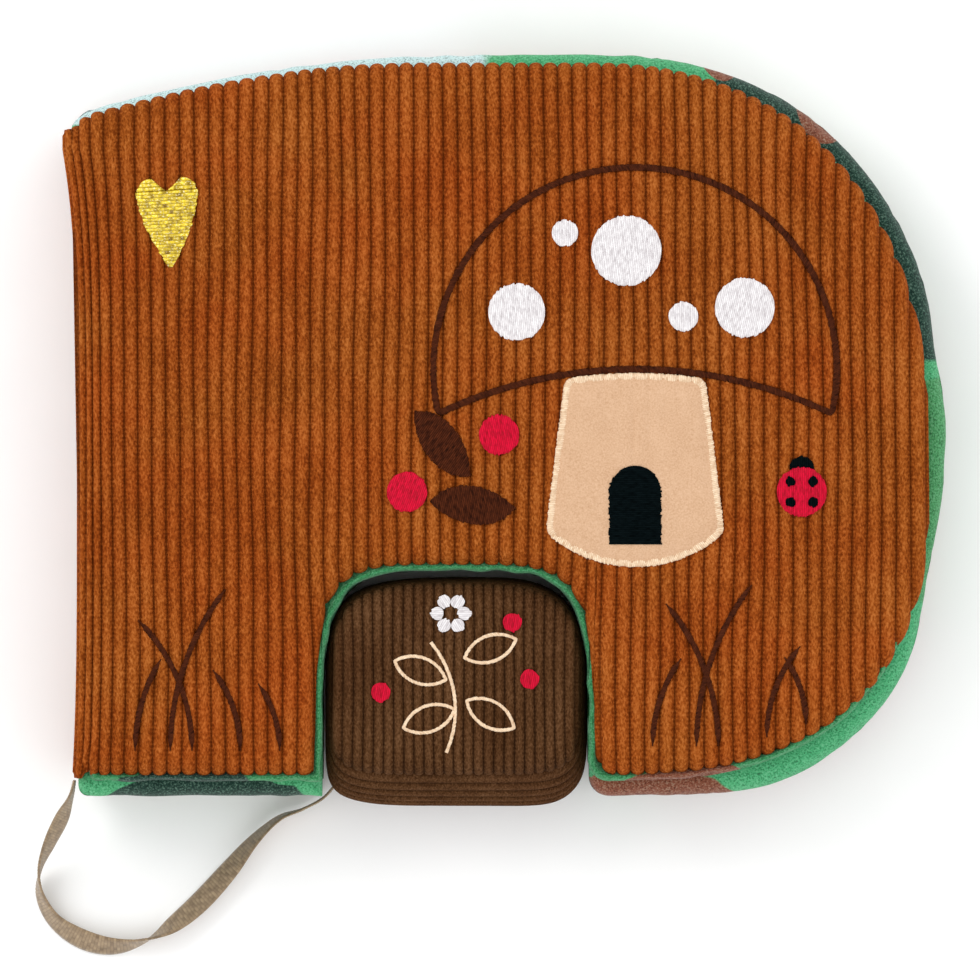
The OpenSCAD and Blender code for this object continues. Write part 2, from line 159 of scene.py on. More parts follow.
# The book's outline, as in the CAD part
bookShape = {
    "roundStart": 20, "widest": -5, "topPower": 2.3, "footPower": 2.8,
    "slopeStart": -20, "slopeDrop": 14, "slopePower": 1.9,
    "archMiddle": -11, "archHalf": 30.5, "archHeight": 48, "archPower": 4.5,
    "spineCorner": 5, "footCorner": 4.5,
}


def limits(left, right, top, foot, grow):
    return {"left": left, "right": right, "top": top, "foot": foot,
            "half": bookShape["archHalf"] + grow,
            "rise": liningLow[1] + bookShape["archHeight"] + grow}


# Height of the top edge over x: a superellipse beyond roundStart, and before it a line that drops
# towards the spine by a power of the distance, with a round corner
def topEdge(x, lim):
    s = bookShape
    arc = s["widest"] + (lim["top"] - s["widest"]) * bulge(
        (x - s["roundStart"]) / (lim["right"] - s["roundStart"]), s["topPower"])
    share = np.maximum(0, (s["slopeStart"] - x) / (s["slopeStart"] + leafHigh[0]))
    line = lim["top"] - s["slopeDrop"] * share ** s["slopePower"]
    return np.where(x > s["roundStart"], arc, line - corner(x - lim["left"], s["spineCorner"]))


# Height of the bottom edge over x: the higher one of the feet's line and the doorway
def bottomEdge(x, lim):
    s = bookShape
    arc = s["widest"] - (s["widest"] - lim["foot"]) * bulge(
        (x - s["roundStart"]) / (lim["right"] - s["roundStart"]), s["footPower"])
    drop = np.where(x < s["archMiddle"], corner(x - lim["left"], s["spineCorner"] / 2),
                    corner(x - s["archMiddle"] - lim["half"], s["footCorner"]))
    inside = np.abs(x - s["archMiddle"]) < lim["half"]
    foot = np.where(x > s["roundStart"] + s["footCorner"], arc, lim["foot"] + np.where(inside, 0, drop))
    arch = lim["foot"] + (lim["rise"] - lim["foot"]) * bulge(
        (x - s["archMiddle"]) / lim["half"], s["archPower"])
    return np.maximum(foot, arch)


# Places across the book, crowded by a cosine towards both ends, the doorway and its walls
def columnsOf(lim, counts):
    s = bookShape
    marks = [lim["left"], s["archMiddle"] - lim["half"], s["archMiddle"] + lim["half"], lim["right"]]
    parts = [a + (b - a) * (1 - np.cos(np.linspace(0, np.pi, n + 1)[:-1])) / 2
             for a, b, n in zip(marks, marks[1:], counts)]
    return np.append(np.concatenate(parts), lim["right"] - 0.01)


# The outline as one closed line of points, counter-clockwise
def outlineOf(lim):
    xs = columnsOf(lim, (36, 76, 76))
    low = np.stack([xs, bottomEdge(xs, lim)], 1)
    high = np.stack([xs, topEdge(xs, lim)], 1)
    return np.concatenate([low, high[::-1]])


# For each point the distance to a line, the unit direction away from the nearest point of the line,
# and how far along the line that point is; the line is closed unless it is said to be open
def nearEdge(x, y, line, closed=True):
    span = np.roll(line, -1, 0) - line
    keep = (span ** 2).sum(1) > 1e-12
    keep[-1] &= closed
    start, span = line[keep], span[keep]
    length = np.sqrt((span ** 2).sum(1))
    before = np.cumsum(length) - length
    points = np.stack([x.ravel(), y.ravel()], 1)
    found = []
    for part in np.array_split(points, max(1, len(points) // 4000)):
        gap = part[:, None] - start
        share = np.clip((gap * span).sum(2) / length ** 2, 0, 1)
        gap -= share[..., None] * span
        far = (gap ** 2).sum(2)
        best = far.argmin(1)
        row = np.arange(len(part))
        d = np.sqrt(far[row, best])
        side = np.stack([-span[best, 1], span[best, 0]], 1) / length[best, None]
        away = np.where(d[:, None] > 1e-3, gap[row, best] / np.maximum(d, 1e-9)[:, None], side)
        found.append(np.column_stack([d, away, before[best] + share[row, best] * length[best]]))
    return np.concatenate(found).T.reshape(4, *x.shape)


# Grid of a panel: one column of points over each x, crowded by depths at both ends
def plan(xs, lim, depths, middleRows):
    low, high = bottomEdge(xs, lim)[:, None], topEdge(xs, lim)[:, None]
    share = np.minimum(1, (high - low) * 0.45 / depths[-1])
    near, far = low + share * depths, high - share * depths[::-1]
    inner = np.linspace(0, 1, middleRows + 2)[1:-1]
    middle = near[:, -1:] + (far[:, :1] - near[:, -1:]) * inner
    y = np.concatenate([near, middle, far], 1)
    return np.broadcast_to(xs[:, None], y.shape), y


def linear(r, g, b):                          # a colour of 0 to 255 as Blender's linear values
    c = np.array([r, g, b]) / 255
    c = np.where(c <= 0.04045, c / 12.92, ((c + 0.055) / 1.055) ** 2.4)
    return (float(c[0]), float(c[1]), float(c[2]), 1.0)


# One shader node, with its settings, and its inputs as values or as sockets to link
def add(tree, kind, values=None, **settings):
    made = tree.nodes.new(kind)
    for key, value in settings.items():
        setattr(made, key, value)
    for key, value in (values or {}).items():
        if isinstance(value, bpy.types.NodeSocket):
            tree.links.new(value, made.inputs[key])
        else:
            made.inputs[key].default_value = value
    return made


def calc(tree, operation, a, b=0.0, c=0.0, clamp=False):
    made = add(tree, "ShaderNodeMath", {0: a, 1: b, 2: c}, operation=operation, use_clamp=clamp)
    return made.outputs[0]


def blendColour(tree, share, a, b, mode="MIX"):
    made = add(tree, "ShaderNodeMix", {0: share, 6: a, 7: b}, data_type="RGBA", blend_type=mode)
    return made.outputs[2]


def ramp(tree, value, stops):                 # value to colour through a few named stops
    made = add(tree, "ShaderNodeValToRGB", {0: value})
    points = made.color_ramp.elements
    for k, (place, colour) in enumerate(stops):
        point = points[k] if k < 2 else points.new(place)
        point.position = place
        point.color = colour
    return made.outputs[0]


def newGroup(name, inputs, outputs):
    group = bpy.data.node_groups.new(name, "ShaderNodeTree")
    for label, kind, value in inputs:
        socket = group.interface.new_socket(label, in_out="INPUT", socket_type="NodeSocket" + kind)
        if value is not None:
            socket.default_value = value
    for label in outputs:
        group.interface.new_socket(label, in_out="OUTPUT", socket_type="NodeSocketFloat")
    return group, group.nodes.new("NodeGroupInput"), group.nodes.new("NodeGroupOutput")


# Short pile: fine tufts broken up by a wider mottle; Tone and Height are both about 0 to 1
pileGroup, groupIn, groupOut = newGroup(
    "shortPile", [("Vector", "Vector", None), ("Tufts", "Float", 1.8), ("Mottle", "Float", 0.12)],
    ["Tone", "Height"])
tufts = add(pileGroup, "ShaderNodeTexNoise", {"Vector": groupIn.outputs[0], "Scale": groupIn.outputs[1],
            "Detail": 2.0, "Roughness": 0.65})
mottle = add(pileGroup, "ShaderNodeTexNoise", {"Vector": groupIn.outputs[0], "Scale": groupIn.outputs[2],
             "Detail": 2.0})
tone = calc(pileGroup, "MULTIPLY_ADD", tufts.outputs[0], 0.78,
            calc(pileGroup, "MULTIPLY", mottle.outputs[0], 0.22))
pileGroup.links.new(tone, groupOut.inputs[0])
pileGroup.links.new(tufts.outputs[0], groupOut.inputs[1])

# Ribs counted by u: Groove is 1 between two ribs, Crest is 1 along a rib's middle, and Teeth are the
# wefts that show on the flanks
ribGroup, groupIn, groupOut = newGroup(
    "ribLines",
    [("Vector", "Vector", None), ("Groove Width", "Float", 0.2), ("Tooth Pitch", "Float", 0.95)],
    ["Groove", "Crest", "Teeth"])
axes = add(ribGroup, "ShaderNodeSeparateXYZ", {0: groupIn.outputs[0]})
place = calc(ribGroup, "FRACT", axes.outputs[0])
off = calc(ribGroup, "ABSOLUTE", calc(ribGroup, "MULTIPLY_ADD", place, 2.0, -1.0))
edge = calc(ribGroup, "SUBTRACT", 1.0, groupIn.outputs[1])
groove = add(ribGroup, "ShaderNodeMapRange", {0: off, 1: edge, 2: 1.0}, interpolation_type="SMOOTHSTEP")
crest = add(ribGroup, "ShaderNodeMapRange", {0: off, 1: 0.85, 2: 0.1}, interpolation_type="SMOOTHSTEP")
flank = add(ribGroup, "ShaderNodeMapRange", {0: off, 1: 0.4, 2: 0.72}, interpolation_type="SMOOTHSTEP")
teeth = calc(ribGroup, "SINE", calc(ribGroup, "DIVIDE", calc(ribGroup, "MULTIPLY", axes.outputs[1], 6.2832),
             groupIn.outputs[2]))
ribGroup.links.new(groove.outputs[0], groupOut.inputs[0])
ribGroup.links.new(crest.outputs[0], groupOut.inputs[1])
ribGroup.links.new(calc(ribGroup, "MULTIPLY", teeth, flank.outputs[0]), groupOut.inputs[2])

# Plain weave: two crossed rows of threads; Height is where either lies on top
weaveGroup, groupIn, groupOut = newGroup(
    "plainWeave", [("Vector", "Vector", None), ("Threads", "Float", 3.2)], ["Height", "Tone"])
axes = add(weaveGroup, "ShaderNodeSeparateXYZ", {0: add(
    weaveGroup, "ShaderNodeVectorMath", {0: groupIn.outputs[0], 3: groupIn.outputs[1]},
    operation="SCALE").outputs[0]})
waves = [calc(weaveGroup, "SINE", calc(weaveGroup, "MULTIPLY", axes.outputs[k], 6.2832)) for k in (0, 1)]
# Tone is a fine noise; the cotton uses it for painted highlights and painted shade
weaveLightNoise = add(weaveGroup, "ShaderNodeTexNoise", {"Vector": groupIn.outputs[0], "Scale": 2.2, "Detail": 3.0,
            "Roughness": 0.7})
weaveGroup.links.new(calc(weaveGroup, "MULTIPLY_ADD", calc(weaveGroup, "MULTIPLY", waves[0], waves[1]), 0.5,
                          0.5), groupOut.inputs[0])
weaveGroup.links.new(weaveLightNoise.outputs[0], groupOut.inputs[1])

# Rows of thread counted by u: Gap is 1 between two threads, Tone differs from thread to thread
threadGroup, groupIn, groupOut = newGroup(
    "threadRows", [("Vector", "Vector", None)], ["Gap", "Tone"])
axes = add(threadGroup, "ShaderNodeSeparateXYZ", {0: groupIn.outputs[0]})
off = calc(threadGroup, "ABSOLUTE", calc(threadGroup, "MULTIPLY_ADD", calc(
    threadGroup, "FRACT", axes.outputs[0]), 2.0, -1.0))
gap = add(threadGroup, "ShaderNodeMapRange", {0: off, 1: 0.6, 2: 1.0}, interpolation_type="SMOOTHSTEP")
each = add(threadGroup, "ShaderNodeTexNoise", {"Vector": add(threadGroup, "ShaderNodeCombineXYZ", {
    0: calc(threadGroup, "MULTIPLY", calc(threadGroup, "FLOOR", axes.outputs[0]), 3.7),
    1: calc(threadGroup, "MULTIPLY", axes.outputs[1], 0.6)}).outputs[0], "Scale": 1.0, "Detail": 2.0})
threadGroup.links.new(gap.outputs[0], groupOut.inputs[0])
threadGroup.links.new(each.outputs[0], groupOut.inputs[1])


# A Principled material; plain values go straight onto the shader's own sockets
def newMaterial(name, roughness, **plain):
    material = bpy.data.materials.new(name)
    material.use_nodes = True
    tree = material.node_tree
    shader = tree.nodes["Principled BSDF"]
    shader.inputs["Roughness"].default_value = roughness
    for key, value in plain.items():
        shader.inputs[key].default_value = value
    return material, tree, shader


def useGroup(tree, group, values):
    made = tree.nodes.new("ShaderNodeGroup")
    made.node_tree = group
    for key, value in values.items():
        if isinstance(value, bpy.types.NodeSocket):
            tree.links.new(value, made.inputs[key])
        else:
            made.inputs[key].default_value = value
    return made


def scaledUv(tree, scale):                    # the piece's own uv, each axis scaled
    coords = add(tree, "ShaderNodeUVMap", uv_map="weave")
    return add(tree, "ShaderNodeVectorMath", {0: coords.outputs[0], 1: scale},
               operation="MULTIPLY").outputs[0]


def objectMm(tree):                           # object coordinates in millimetres
    coords = add(tree, "ShaderNodeTexCoord")
    return add(tree, "ShaderNodeVectorMath", {0: coords.outputs["Object"], 3: 1 / mm},
               operation="SCALE").outputs[0]


def bump(tree, shader, height, distance, strength=1.0):
    made = add(tree, "ShaderNodeBump", {"Height": height, "Distance": distance * mm, "Strength": strength})
    tree.links.new(made.outputs[0], shader.inputs["Normal"])


# Corduroy: its uv counts ribs in u and millimetres along them in v; the pile lies slanted on the ribs.
# Its tone, lifted by a painted highlight on the crests and broken by the wefts, picks the colour, and
# painted shade darkens the grooves.
def corduroy(name, look):
    material, tree, shader = newMaterial(name, 0.95)
    shader.inputs["Sheen Weight"].default_value = look["sheen"]
    shader.inputs["Sheen Roughness"].default_value = 0.5
    shader.inputs["Sheen Tint"].default_value = look["light"]
    shader.inputs["Specular IOR Level"].default_value = 0.06
    where = objectMm(tree)
    ribs = useGroup(tree, ribGroup, {"Vector": scaledUv(tree, (1, 1, 1)), "Groove Width": look["groove"]})
    slanted = add(tree, "ShaderNodeMapping", {
        "Vector": where, "Rotation": (0, 0, 0.7), "Scale": (1.0, 0.5, 0.8)})
    pile = useGroup(tree, pileGroup, {"Vector": slanted.outputs[0], "Tufts": look["tufts"]})
    lower = calc(tree, "SUBTRACT", pile.outputs["Tone"], 0.05)
    # Painted highlight: the tone is lifted along the middle of each rib's crest
    crestHighlit = calc(tree, "MULTIPLY_ADD", ribs.outputs["Crest"], 0.09, lower)
    tone = calc(tree, "MULTIPLY_ADD", ribs.outputs["Teeth"], 0.05, crestHighlit)
    body = ramp(tree, tone, [(0.36, look["dark"]), (0.7, look["light"]), (0.52, look["mean"])])
    # Broad patches made lighter by a slow noise, blended in by soft light
    patch = add(tree, "ShaderNodeTexNoise", {
        "Vector": where, "Scale": 0.03, "Detail": 4.0, "Roughness": 0.6})
    slowPatches = add(tree, "ShaderNodeMapRange", {0: patch.outputs[0], 1: 0.4, 2: 0.65, 4: 0.35})
    body = blendColour(tree, slowPatches.outputs[0], body, look["light"], "SOFT_LIGHT")
    # Painted shade: the grooves between the ribs are darkened towards the shade colour
    shaded = calc(tree, "MULTIPLY", ribs.outputs["Groove"], 0.6)
    body = blendColour(tree, shaded, body, look["shade"])
    tree.links.new(body, shader.inputs["Base Color"])
    bump(tree, shader, pile.outputs["Height"], 0.5, 0.7)
    return material


rustLook = {
    "mean": linear(145, 74, 22), "dark": linear(106, 46, 6), "light": linear(178, 104, 46),
    "shade": linear(92, 39, 5), "groove": 0.26, "tufts": 2.2, "sheen": 0.04,
}
brownLook = {
    "mean": linear(84, 55, 31), "dark": linear(60, 35, 14), "light": linear(108, 76, 50),
    "shade": linear(42, 23, 9), "groove": 0.28, "tufts": 2.6, "sheen": 0.05,
}
rustCorduroy = corduroy("rustCorduroy", rustLook)
brownCorduroy = corduroy("brownCorduroy", brownLook)


# Brushed cotton: a ground with fields of colour, mottled by painted highlights and painted shade. Each
# field is a colour, a middle, the half sizes of an ellipse and how wavy its edge is.
def cotton(name, ground, fields):
    material, tree, shader = newMaterial(name, 0.85)
    shader.inputs["Sheen Weight"].default_value = 0.15
    shader.inputs["Sheen Roughness"].default_value = 0.5
    shader.inputs["Specular IOR Level"].default_value = 0.15
    where = objectMm(tree)
    weave = useGroup(tree, weaveGroup, {"Vector": where})
    for colour, middle, size, wavy in fields:
        flat = add(tree, "ShaderNodeMapping", {"Vector": where, "Location": (
            -middle[0] / size[0], -middle[1] / size[1], 0), "Scale": (1 / size[0], 1 / size[1], 0)})
        far = add(tree, "ShaderNodeVectorMath", {0: flat.outputs[0]}, operation="LENGTH")
        ripple = add(tree, "ShaderNodeTexNoise", {"Vector": where, "Scale": 0.11, "Detail": 1.0})
        edge = calc(tree, "MULTIPLY_ADD", ripple.outputs[0], wavy, far.outputs[1])
        inside = add(tree, "ShaderNodeMapRange", {0: edge, 1: 1 + wavy / 2 + 0.01, 2: 1 + wavy / 2 - 0.01})
        ground = blendColour(tree, inside.outputs[0], ground, colour)
    # Painted highlights and painted shade on the weave: a fine noise lightens some spots towards pale green
    # and darkens others
    weaveHighlight = add(tree, "ShaderNodeMapRange", {0: weave.outputs["Tone"], 1: 0.5, 2: 0.66, 4: 0.2})
    light = blendColour(tree, weaveHighlight.outputs[0], ground, linear(190, 232, 206), "SCREEN")
    weaveShade = add(tree, "ShaderNodeMapRange", {0: weave.outputs["Tone"], 1: 0.5, 2: 0.34, 4: 0.7})
    dark = blendColour(tree, weaveShade.outputs[0], light, linear(30, 60, 50), "MULTIPLY")
    tree.links.new(dark, shader.inputs["Base Color"])
    bump(tree, shader, weave.outputs["Height"], 0.2, 0.6)
    return material


green, darkGreen, rust = linear(52, 140, 84), linear(16, 56, 44), linear(132, 70, 46)
skyBlue, moss = linear(194, 222, 222), linear(86, 158, 104)
liningCotton = cotton("liningCotton", green, [
    (darkGreen, (-75, -92), (26, 16), 0.5), (rust, (44, -92), (20, 16), 0.6),
    (skyBlue, (-40, 110), (60, 40), 0.3)])


# Embroidery thread by its uv: u counts threads, v is the length along them
def satin(name, colour, dark, metallic=0.0, roughness=0.5, shine=0.3, glints=False):
    material, tree, shader = newMaterial(name, roughness)
    shader.inputs["Metallic"].default_value = metallic
    shader.inputs["Specular IOR Level"].default_value = shine
    rows = useGroup(tree, threadGroup, {"Vector": scaledUv(tree, (1, 1, 1))})
    tint = ramp(tree, rows.outputs["Tone"], [(0.3, dark), (0.62, colour)])
    if glints:
        # Painted glints: pale highlights are painted where a noise along the threads is high, and darker
        # specks where it is low
        glintNoise = add(tree, "ShaderNodeTexNoise", {"Vector": scaledUv(tree, (1.5, 1.1, 1)), "Scale": 1.6,
                    "Detail": 3.0, "Roughness": 0.75})
        glintShare = add(tree, "ShaderNodeMapRange", {0: glintNoise.outputs[0], 1: 0.54, 2: 0.66, 4: 0.85})
        speckShare = add(tree, "ShaderNodeMapRange", {0: glintNoise.outputs[0], 1: 0.46, 2: 0.34, 4: 0.75})
        tint = blendColour(tree, glintShare.outputs[0], tint, linear(252, 246, 206))
        tint = blendColour(tree, speckShare.outputs[0], tint, dark)
    tint = blendColour(tree, calc(tree, "MULTIPLY", rows.outputs["Gap"], 0.75), tint, dark)
    tree.links.new(tint, shader.inputs["Base Color"])
    bump(tree, shader, rows.outputs["Tone"], 0.12, 0.5)
    return material


brownThread = satin("brownThread", linear(80, 36, 16), linear(42, 14, 4), roughness=0.65, shine=0.05)
creamThread = satin("creamThread", linear(243, 219, 188), linear(206, 170, 134))
whiteThread = satin("whiteThread", linear(238, 235, 236), linear(200, 194, 196))
redThread = satin("redThread", linear(216, 3, 52), linear(164, 0, 32), shine=0.12)
blackThread = satin("blackThread", linear(7, 16, 18), linear(1, 5, 6), roughness=0.7, shine=0.02)
goldThread = satin("goldThread", linear(246, 216, 52), linear(126, 96, 2), metallic=0.3, roughness=0.36,
                   glints=True)
print("cloths and threads mixed")


# Section of a rib over one pitch: 1 - |t| to the 2.4, to the 0.75, zero in the grooves at whole numbers
def ribShape(phase):
    t = np.abs(2 * (phase - np.floor(phase)) - 1)
    return np.maximum(0, 1 - t ** 2.4) ** 0.75


ribPlaces = np.array([0, 0.04, 0.12, 0.25, 0.41, 0.59, 0.75, 0.88, 0.96])    # points across one rib


# Counts of ribs at the places across each rib, from left to right
def ribColumns(left, right, pitch, places=ribPlaces):
    count = int((right - left) / pitch) + 1
    phases = (np.arange(count)[:, None] + places).ravel()
    return phases[left + phases * pitch < right]


coverRoll = {
    "pitch": 3.33, "ribHeight": 1.05, "roll": 4, "edge": 0.8,
    "depths": np.array([0, 0.08, 0.3, 0.7, 1.2, 1.9, 2.8, 4.0]), "rows": 90,
    "dip": 0.5, "dipWidth": 1.7,             # how far and how wide a line of stitches pulls in
    "soft": 0.6, "wander": 0.35,
}
ribReach = 1.0                                # the ribs' ends stand out this far beyond the limits
faceLimits = limits(-97.0, liningHigh[0] - ribReach, liningHigh[1] - ribReach,
                    liningLow[1] + 1.2 + ribReach, 1.2 + ribReach)
faceThick = faceHigh[2] - liningHigh[2]

# The cloth runs up from the spine past the hinge line and over the cover's stuffed edge
hingeCloth = {
    "middle": (-91.6, 2.0), "reach": (6.8, 3.8),    # quarter ellipse: its middle is from the hinge line up
    "foot": (-98.2, -3.0), "crease": 0.45, "splitAngle": 140,
    "crowd": 0.42, "crowdAt": 3.6, "crowdReach": 1.8,    # ribs sit closer together near this rib
    "pullMiddle": 2.0, "pullTop": 3.3, "pullFoot": 1.4,
}


# The hinge cloth's section as points of x and z from the hinge line, without its ribs: a nearly
# upright part with a shallow crease, a quarter ellipse, and a straight part over the cover
def hingeSection():
    h = hingeCloth
    a = np.radians(np.linspace(180, 90, 60))
    arcX = h["middle"][0] + h["reach"][0] * np.cos(a)
    arc = np.stack([arcX, h["middle"][1] + h["reach"][1] * np.sin(a)], 1)
    t = np.linspace(0, 1, 30)[:-1, None]
    rise = np.array(h["foot"]) * (1 - t) + arc[0] * t
    rise[:, 0] += h["crease"] * np.sin(np.pi * t[:, 0]) ** 2
    line = np.vstack([rise, arc, [[110, arc[-1, 1]]]])
    ahead = np.gradient(line, axis=0)
    ahead /= np.linalg.norm(ahead, axis=1)[:, None]
    out = np.stack([-ahead[:, 1], ahead[:, 0]], 1)
    middle = line + 0.6 * out                 # length is counted half way up the ribs
    length = np.append(0, np.cumsum(np.linalg.norm(np.diff(middle, axis=0), axis=1)))
    split = length[29 + int(60 * (180 - h["splitAngle"]) / 90)]
    return line, out, length, split


hingeLine, hingeOut, hingeLength, hingeSplit = hingeSection()


# Length of cloth up to a count of ribs: they stand closer by a bell curve about crowdAt
ribCounts = np.linspace(0, 80, 8001)
crowding = np.exp(-((ribCounts - hingeCloth["crowdAt"]) / hingeCloth["crowdReach"]) ** 2)
ribLengths = np.cumsum(1 - hingeCloth["crowd"] * crowding) * 0.01 * coverRoll["pitch"]
ribLengths -= ribLengths[0]


def lengthAt(phase):
    return np.interp(phase, ribCounts, ribLengths)


def phaseAt(length):
    return np.interp(length, ribLengths, ribCounts)


# Place and outward direction on the hinge cloth's section at a count of ribs from its foot
def onHinge(phase):
    length = lengthAt(phase)
    return [np.interp(length, hingeLength, values[:, k])
            for values in (hingeLine, hingeOut) for k in (0, 1)]


def arcPath(middle, radius, start, end, count=60):
    a = np.radians(np.linspace(start, end, count))
    return np.stack([middle[0] + radius * np.cos(a), middle[1] + radius * np.sin(a)], 1)


# The same line with points an even step apart
def evenPath(points, step, closed=False):
    line = np.vstack([points, points[:1]]) if closed else points
    length = np.append(0, np.cumsum(np.linalg.norm(np.diff(line, axis=0), axis=1)))
    places = np.linspace(0, length[-1], int(length[-1] / step) + 1)
    if closed:
        places = places[:-1]
    return np.stack([np.interp(places, length, line[:, k]) for k in range(line.shape[1])], 1)


# A line smoothed by a running mean over reach points, so that its corners turn round
def rounded(points, reach, closed=True):
    weight = np.hanning(2 * reach + 3)[1:-1]
    weight /= weight.sum()
    ends = (points[-reach:], points[:reach]) if closed else (
        np.repeat(points[:1], reach, 0), np.repeat(points[-1:], reach, 0))
    padded = np.vstack([ends[0], points, ends[1]])
    return np.stack([np.convolve(padded[:, k], weight, "valid") for k in range(points.shape[1])], 1)


toadstool = {
    "capMiddle": (30, 14), "capRadius": 46, "underMiddle": (30, -90), "underRadius": 104,
    "lineWidth": 1.5, "stemTop": 32, "stemFoot": 42, "stemFootY": -31, "border": 1.5,
    "door": (12, 18), "doorFoot": -26,
}


# The cap's circle above the under-cap circle, as one closed line
def capPath():
    t = toadstool
    drop = t["capMiddle"][1] - t["underMiddle"][1]
    up = (drop ** 2 + t["underRadius"] ** 2 - t["capRadius"] ** 2) / (2 * drop)
    low = np.degrees(np.arcsin((up - drop) / t["capRadius"]))
    side = np.degrees(np.arcsin(up / t["underRadius"]))
    upper = arcPath(t["capMiddle"], t["capRadius"], low, 180 - low, 160)
    under = arcPath(t["underMiddle"], t["underRadius"], 180 - side, side, 60)
    return rounded(evenPath(np.vstack([upper, under[1:-1]]), 0.4, True), 4)


# Sides that widen to the foot, between the under-cap arc and a round foot
def stemPath():
    t = toadstool
    x0 = t["capMiddle"][0]
    topRadius = t["underRadius"] - t["lineWidth"] / 2 - 0.3 - t["border"] / 2
    footRadius = 0.72 * t["stemFoot"] - t["border"] / 2
    half = np.linspace(-1, 1, 41)
    topX = half * (t["stemTop"] / 2 - t["border"] / 2)
    footX = half * (t["stemFoot"] / 2 - t["border"] / 2 - 0.8)
    top = np.stack([x0 + topX, t["underMiddle"][1] + np.sqrt(topRadius ** 2 - topX ** 2)], 1)
    footMiddle = t["stemFootY"] + 0.72 * t["stemFoot"]
    foot = np.stack([x0 + footX, footMiddle - np.sqrt(footRadius ** 2 - footX ** 2)], 1)
    return rounded(evenPath(np.vstack([foot, top[::-1]]), 0.4, True), 6)


grass = [((-84, -73), 40, 1, 0.35), ((-76, -73), 60, 1, 0.42), ((-71, -73), 42, -1, 0.5),
         ((-60, -73), 30, -1, 0.42), ((-51, -73), 26, -1, 0.4), ((34, -72), 34, 1, 0.4),
         ((44, -72), 60, 1, 0.42), ((49, -72), 50, -1, 0.45), ((60, -70), 32, 1, 0.45),
         ((69, -67), 26, -1, 0.4)]            # foot, radius, side and share of a quarter turn


def bladePath(blade):
    foot, radius, side, share = blade
    turn = 90 * share
    middle = (foot[0] + side * radius, foot[1])
    if side > 0:
        return arcPath(middle, radius, 180, 180 - turn, 40)
    return arcPath(middle, radius, 0, turn, 40)


capLine, stemLine = capPath(), stemPath()
bladeLines = [bladePath(blade) for blade in grass]
stitchPoints = np.vstack([capLine, stemLine] + [evenPath(line, 0.4) for line in bladeLines])
coverMap = {"low": (-106.0, -86.0), "size": (212.0, 174.0), "dipCell": 0.5, "edgeCell": 1.0}


# Values at the cells of a map over the cover, read in between by weights of the four near cells
def onMap(grid, cell, x, y):
    place = [np.clip((value - low) / cell, 0, size - 1.001)
             for value, low, size in zip((x, y), coverMap["low"], grid.shape)]
    i, j = (value.astype(int) for value in place)
    u, v = place[0] - i, place[1] - j
    return (grid[i, j] * (1 - u) + grid[i + 1, j] * u) * (1 - v) + (
        grid[i, j + 1] * (1 - u) + grid[i + 1, j + 1] * u) * v


# The bell curve of the distance to the nearest stitch, 1 on a stitch, for every cell of the map
def dipGrid():
    cell = coverMap["dipCell"]
    shape = [int(size / cell) + 1 for size in coverMap["size"]]
    grid = np.zeros(shape)
    at = (stitchPoints - coverMap["low"]) / cell
    near = np.round(at).astype(int)
    for i in range(-8, 9):
        for j in range(-8, 9):
            to = near + (i, j)
            far = np.linalg.norm(to - at, axis=1) * cell
            np.maximum.at(grid, (to[:, 0], to[:, 1]), np.exp(-(far / coverRoll["dipWidth"]) ** 2))
    return grid


stitchMap = dipGrid()


# How far the ribs are pressed flat under the velour: the distance inside its outline, along the line
# from its middle, over 1.2 mm
def pressed(x, y):
    middle = stemLine.mean(0)
    turn = np.arctan2(*(stemLine - middle).T[::-1])
    order = np.argsort(turn)
    reach = np.interp(np.arctan2(y - middle[1], x - middle[0]), turn[order],
                      np.linalg.norm(stemLine - middle, axis=1)[order], period=2 * np.pi)
    return np.clip((reach - np.hypot(x - middle[0], y - middle[1])) / 1.2, 0, 1)


def softness(x, y):                           # slow swells of the padding, two crossed waves
    return np.sin(x / 15 + 1.2 * np.sin(y / 21)) * np.sin(y / 17 + 0.7 * np.sin(x / 26))


# How far the cloth is pulled in by the lines of stitches, a bell curve of the distance
def stitchDip(x, y):
    return onMap(stitchMap, coverMap["dipCell"], x, y)


# Height of the front cover under its ribs, above the lining: a quarter circle of the distance d to
# the edge, with slow swells and the stitches' dips, times the height of the hinge cloth there
def coverBase(x, y, d, dips):
    c = coverRoll
    level = faceThick - c["ribHeight"] - c["edge"]
    sag = c["soft"] * (softness(x, y) - 1) / 2 + (c["dip"] * -dips if dips is not None else 0)
    under = liningHigh[2] - frontAxis
    above = (np.interp(x, hingeLine[29:, 0], hingeLine[29:, 1]) - under) / (hingeLine[-1, 1] - under)
    return (c["edge"] + level * puff(d, c["roll"])) * above + sag * puff(d - 1, 10) * above


# The cloth is drawn in along the spine, by powers of the distance from the middle of its length, and
# this fades into the cover
def leftPull(x, y, left):
    h = hingeCloth
    t = (y + 10) / 74
    drawn = h["pullMiddle"] - h["pullTop"] * np.clip(t, 0, 1) ** 4 - h["pullFoot"] * np.clip(-t, 0, 1) ** 4
    return drawn * np.exp(-np.maximum(0, x - left) / 14)


def wander(x, y):
    w = coverRoll["wander"] * (1 - np.exp(-np.maximum(0, x - faceLimits["left"]) / 6))
    return w * (np.sin(y / 23 + x / 37) + 0.6 * np.sin(y / 9.5 + x / 5.3) * np.sin(x / 31))


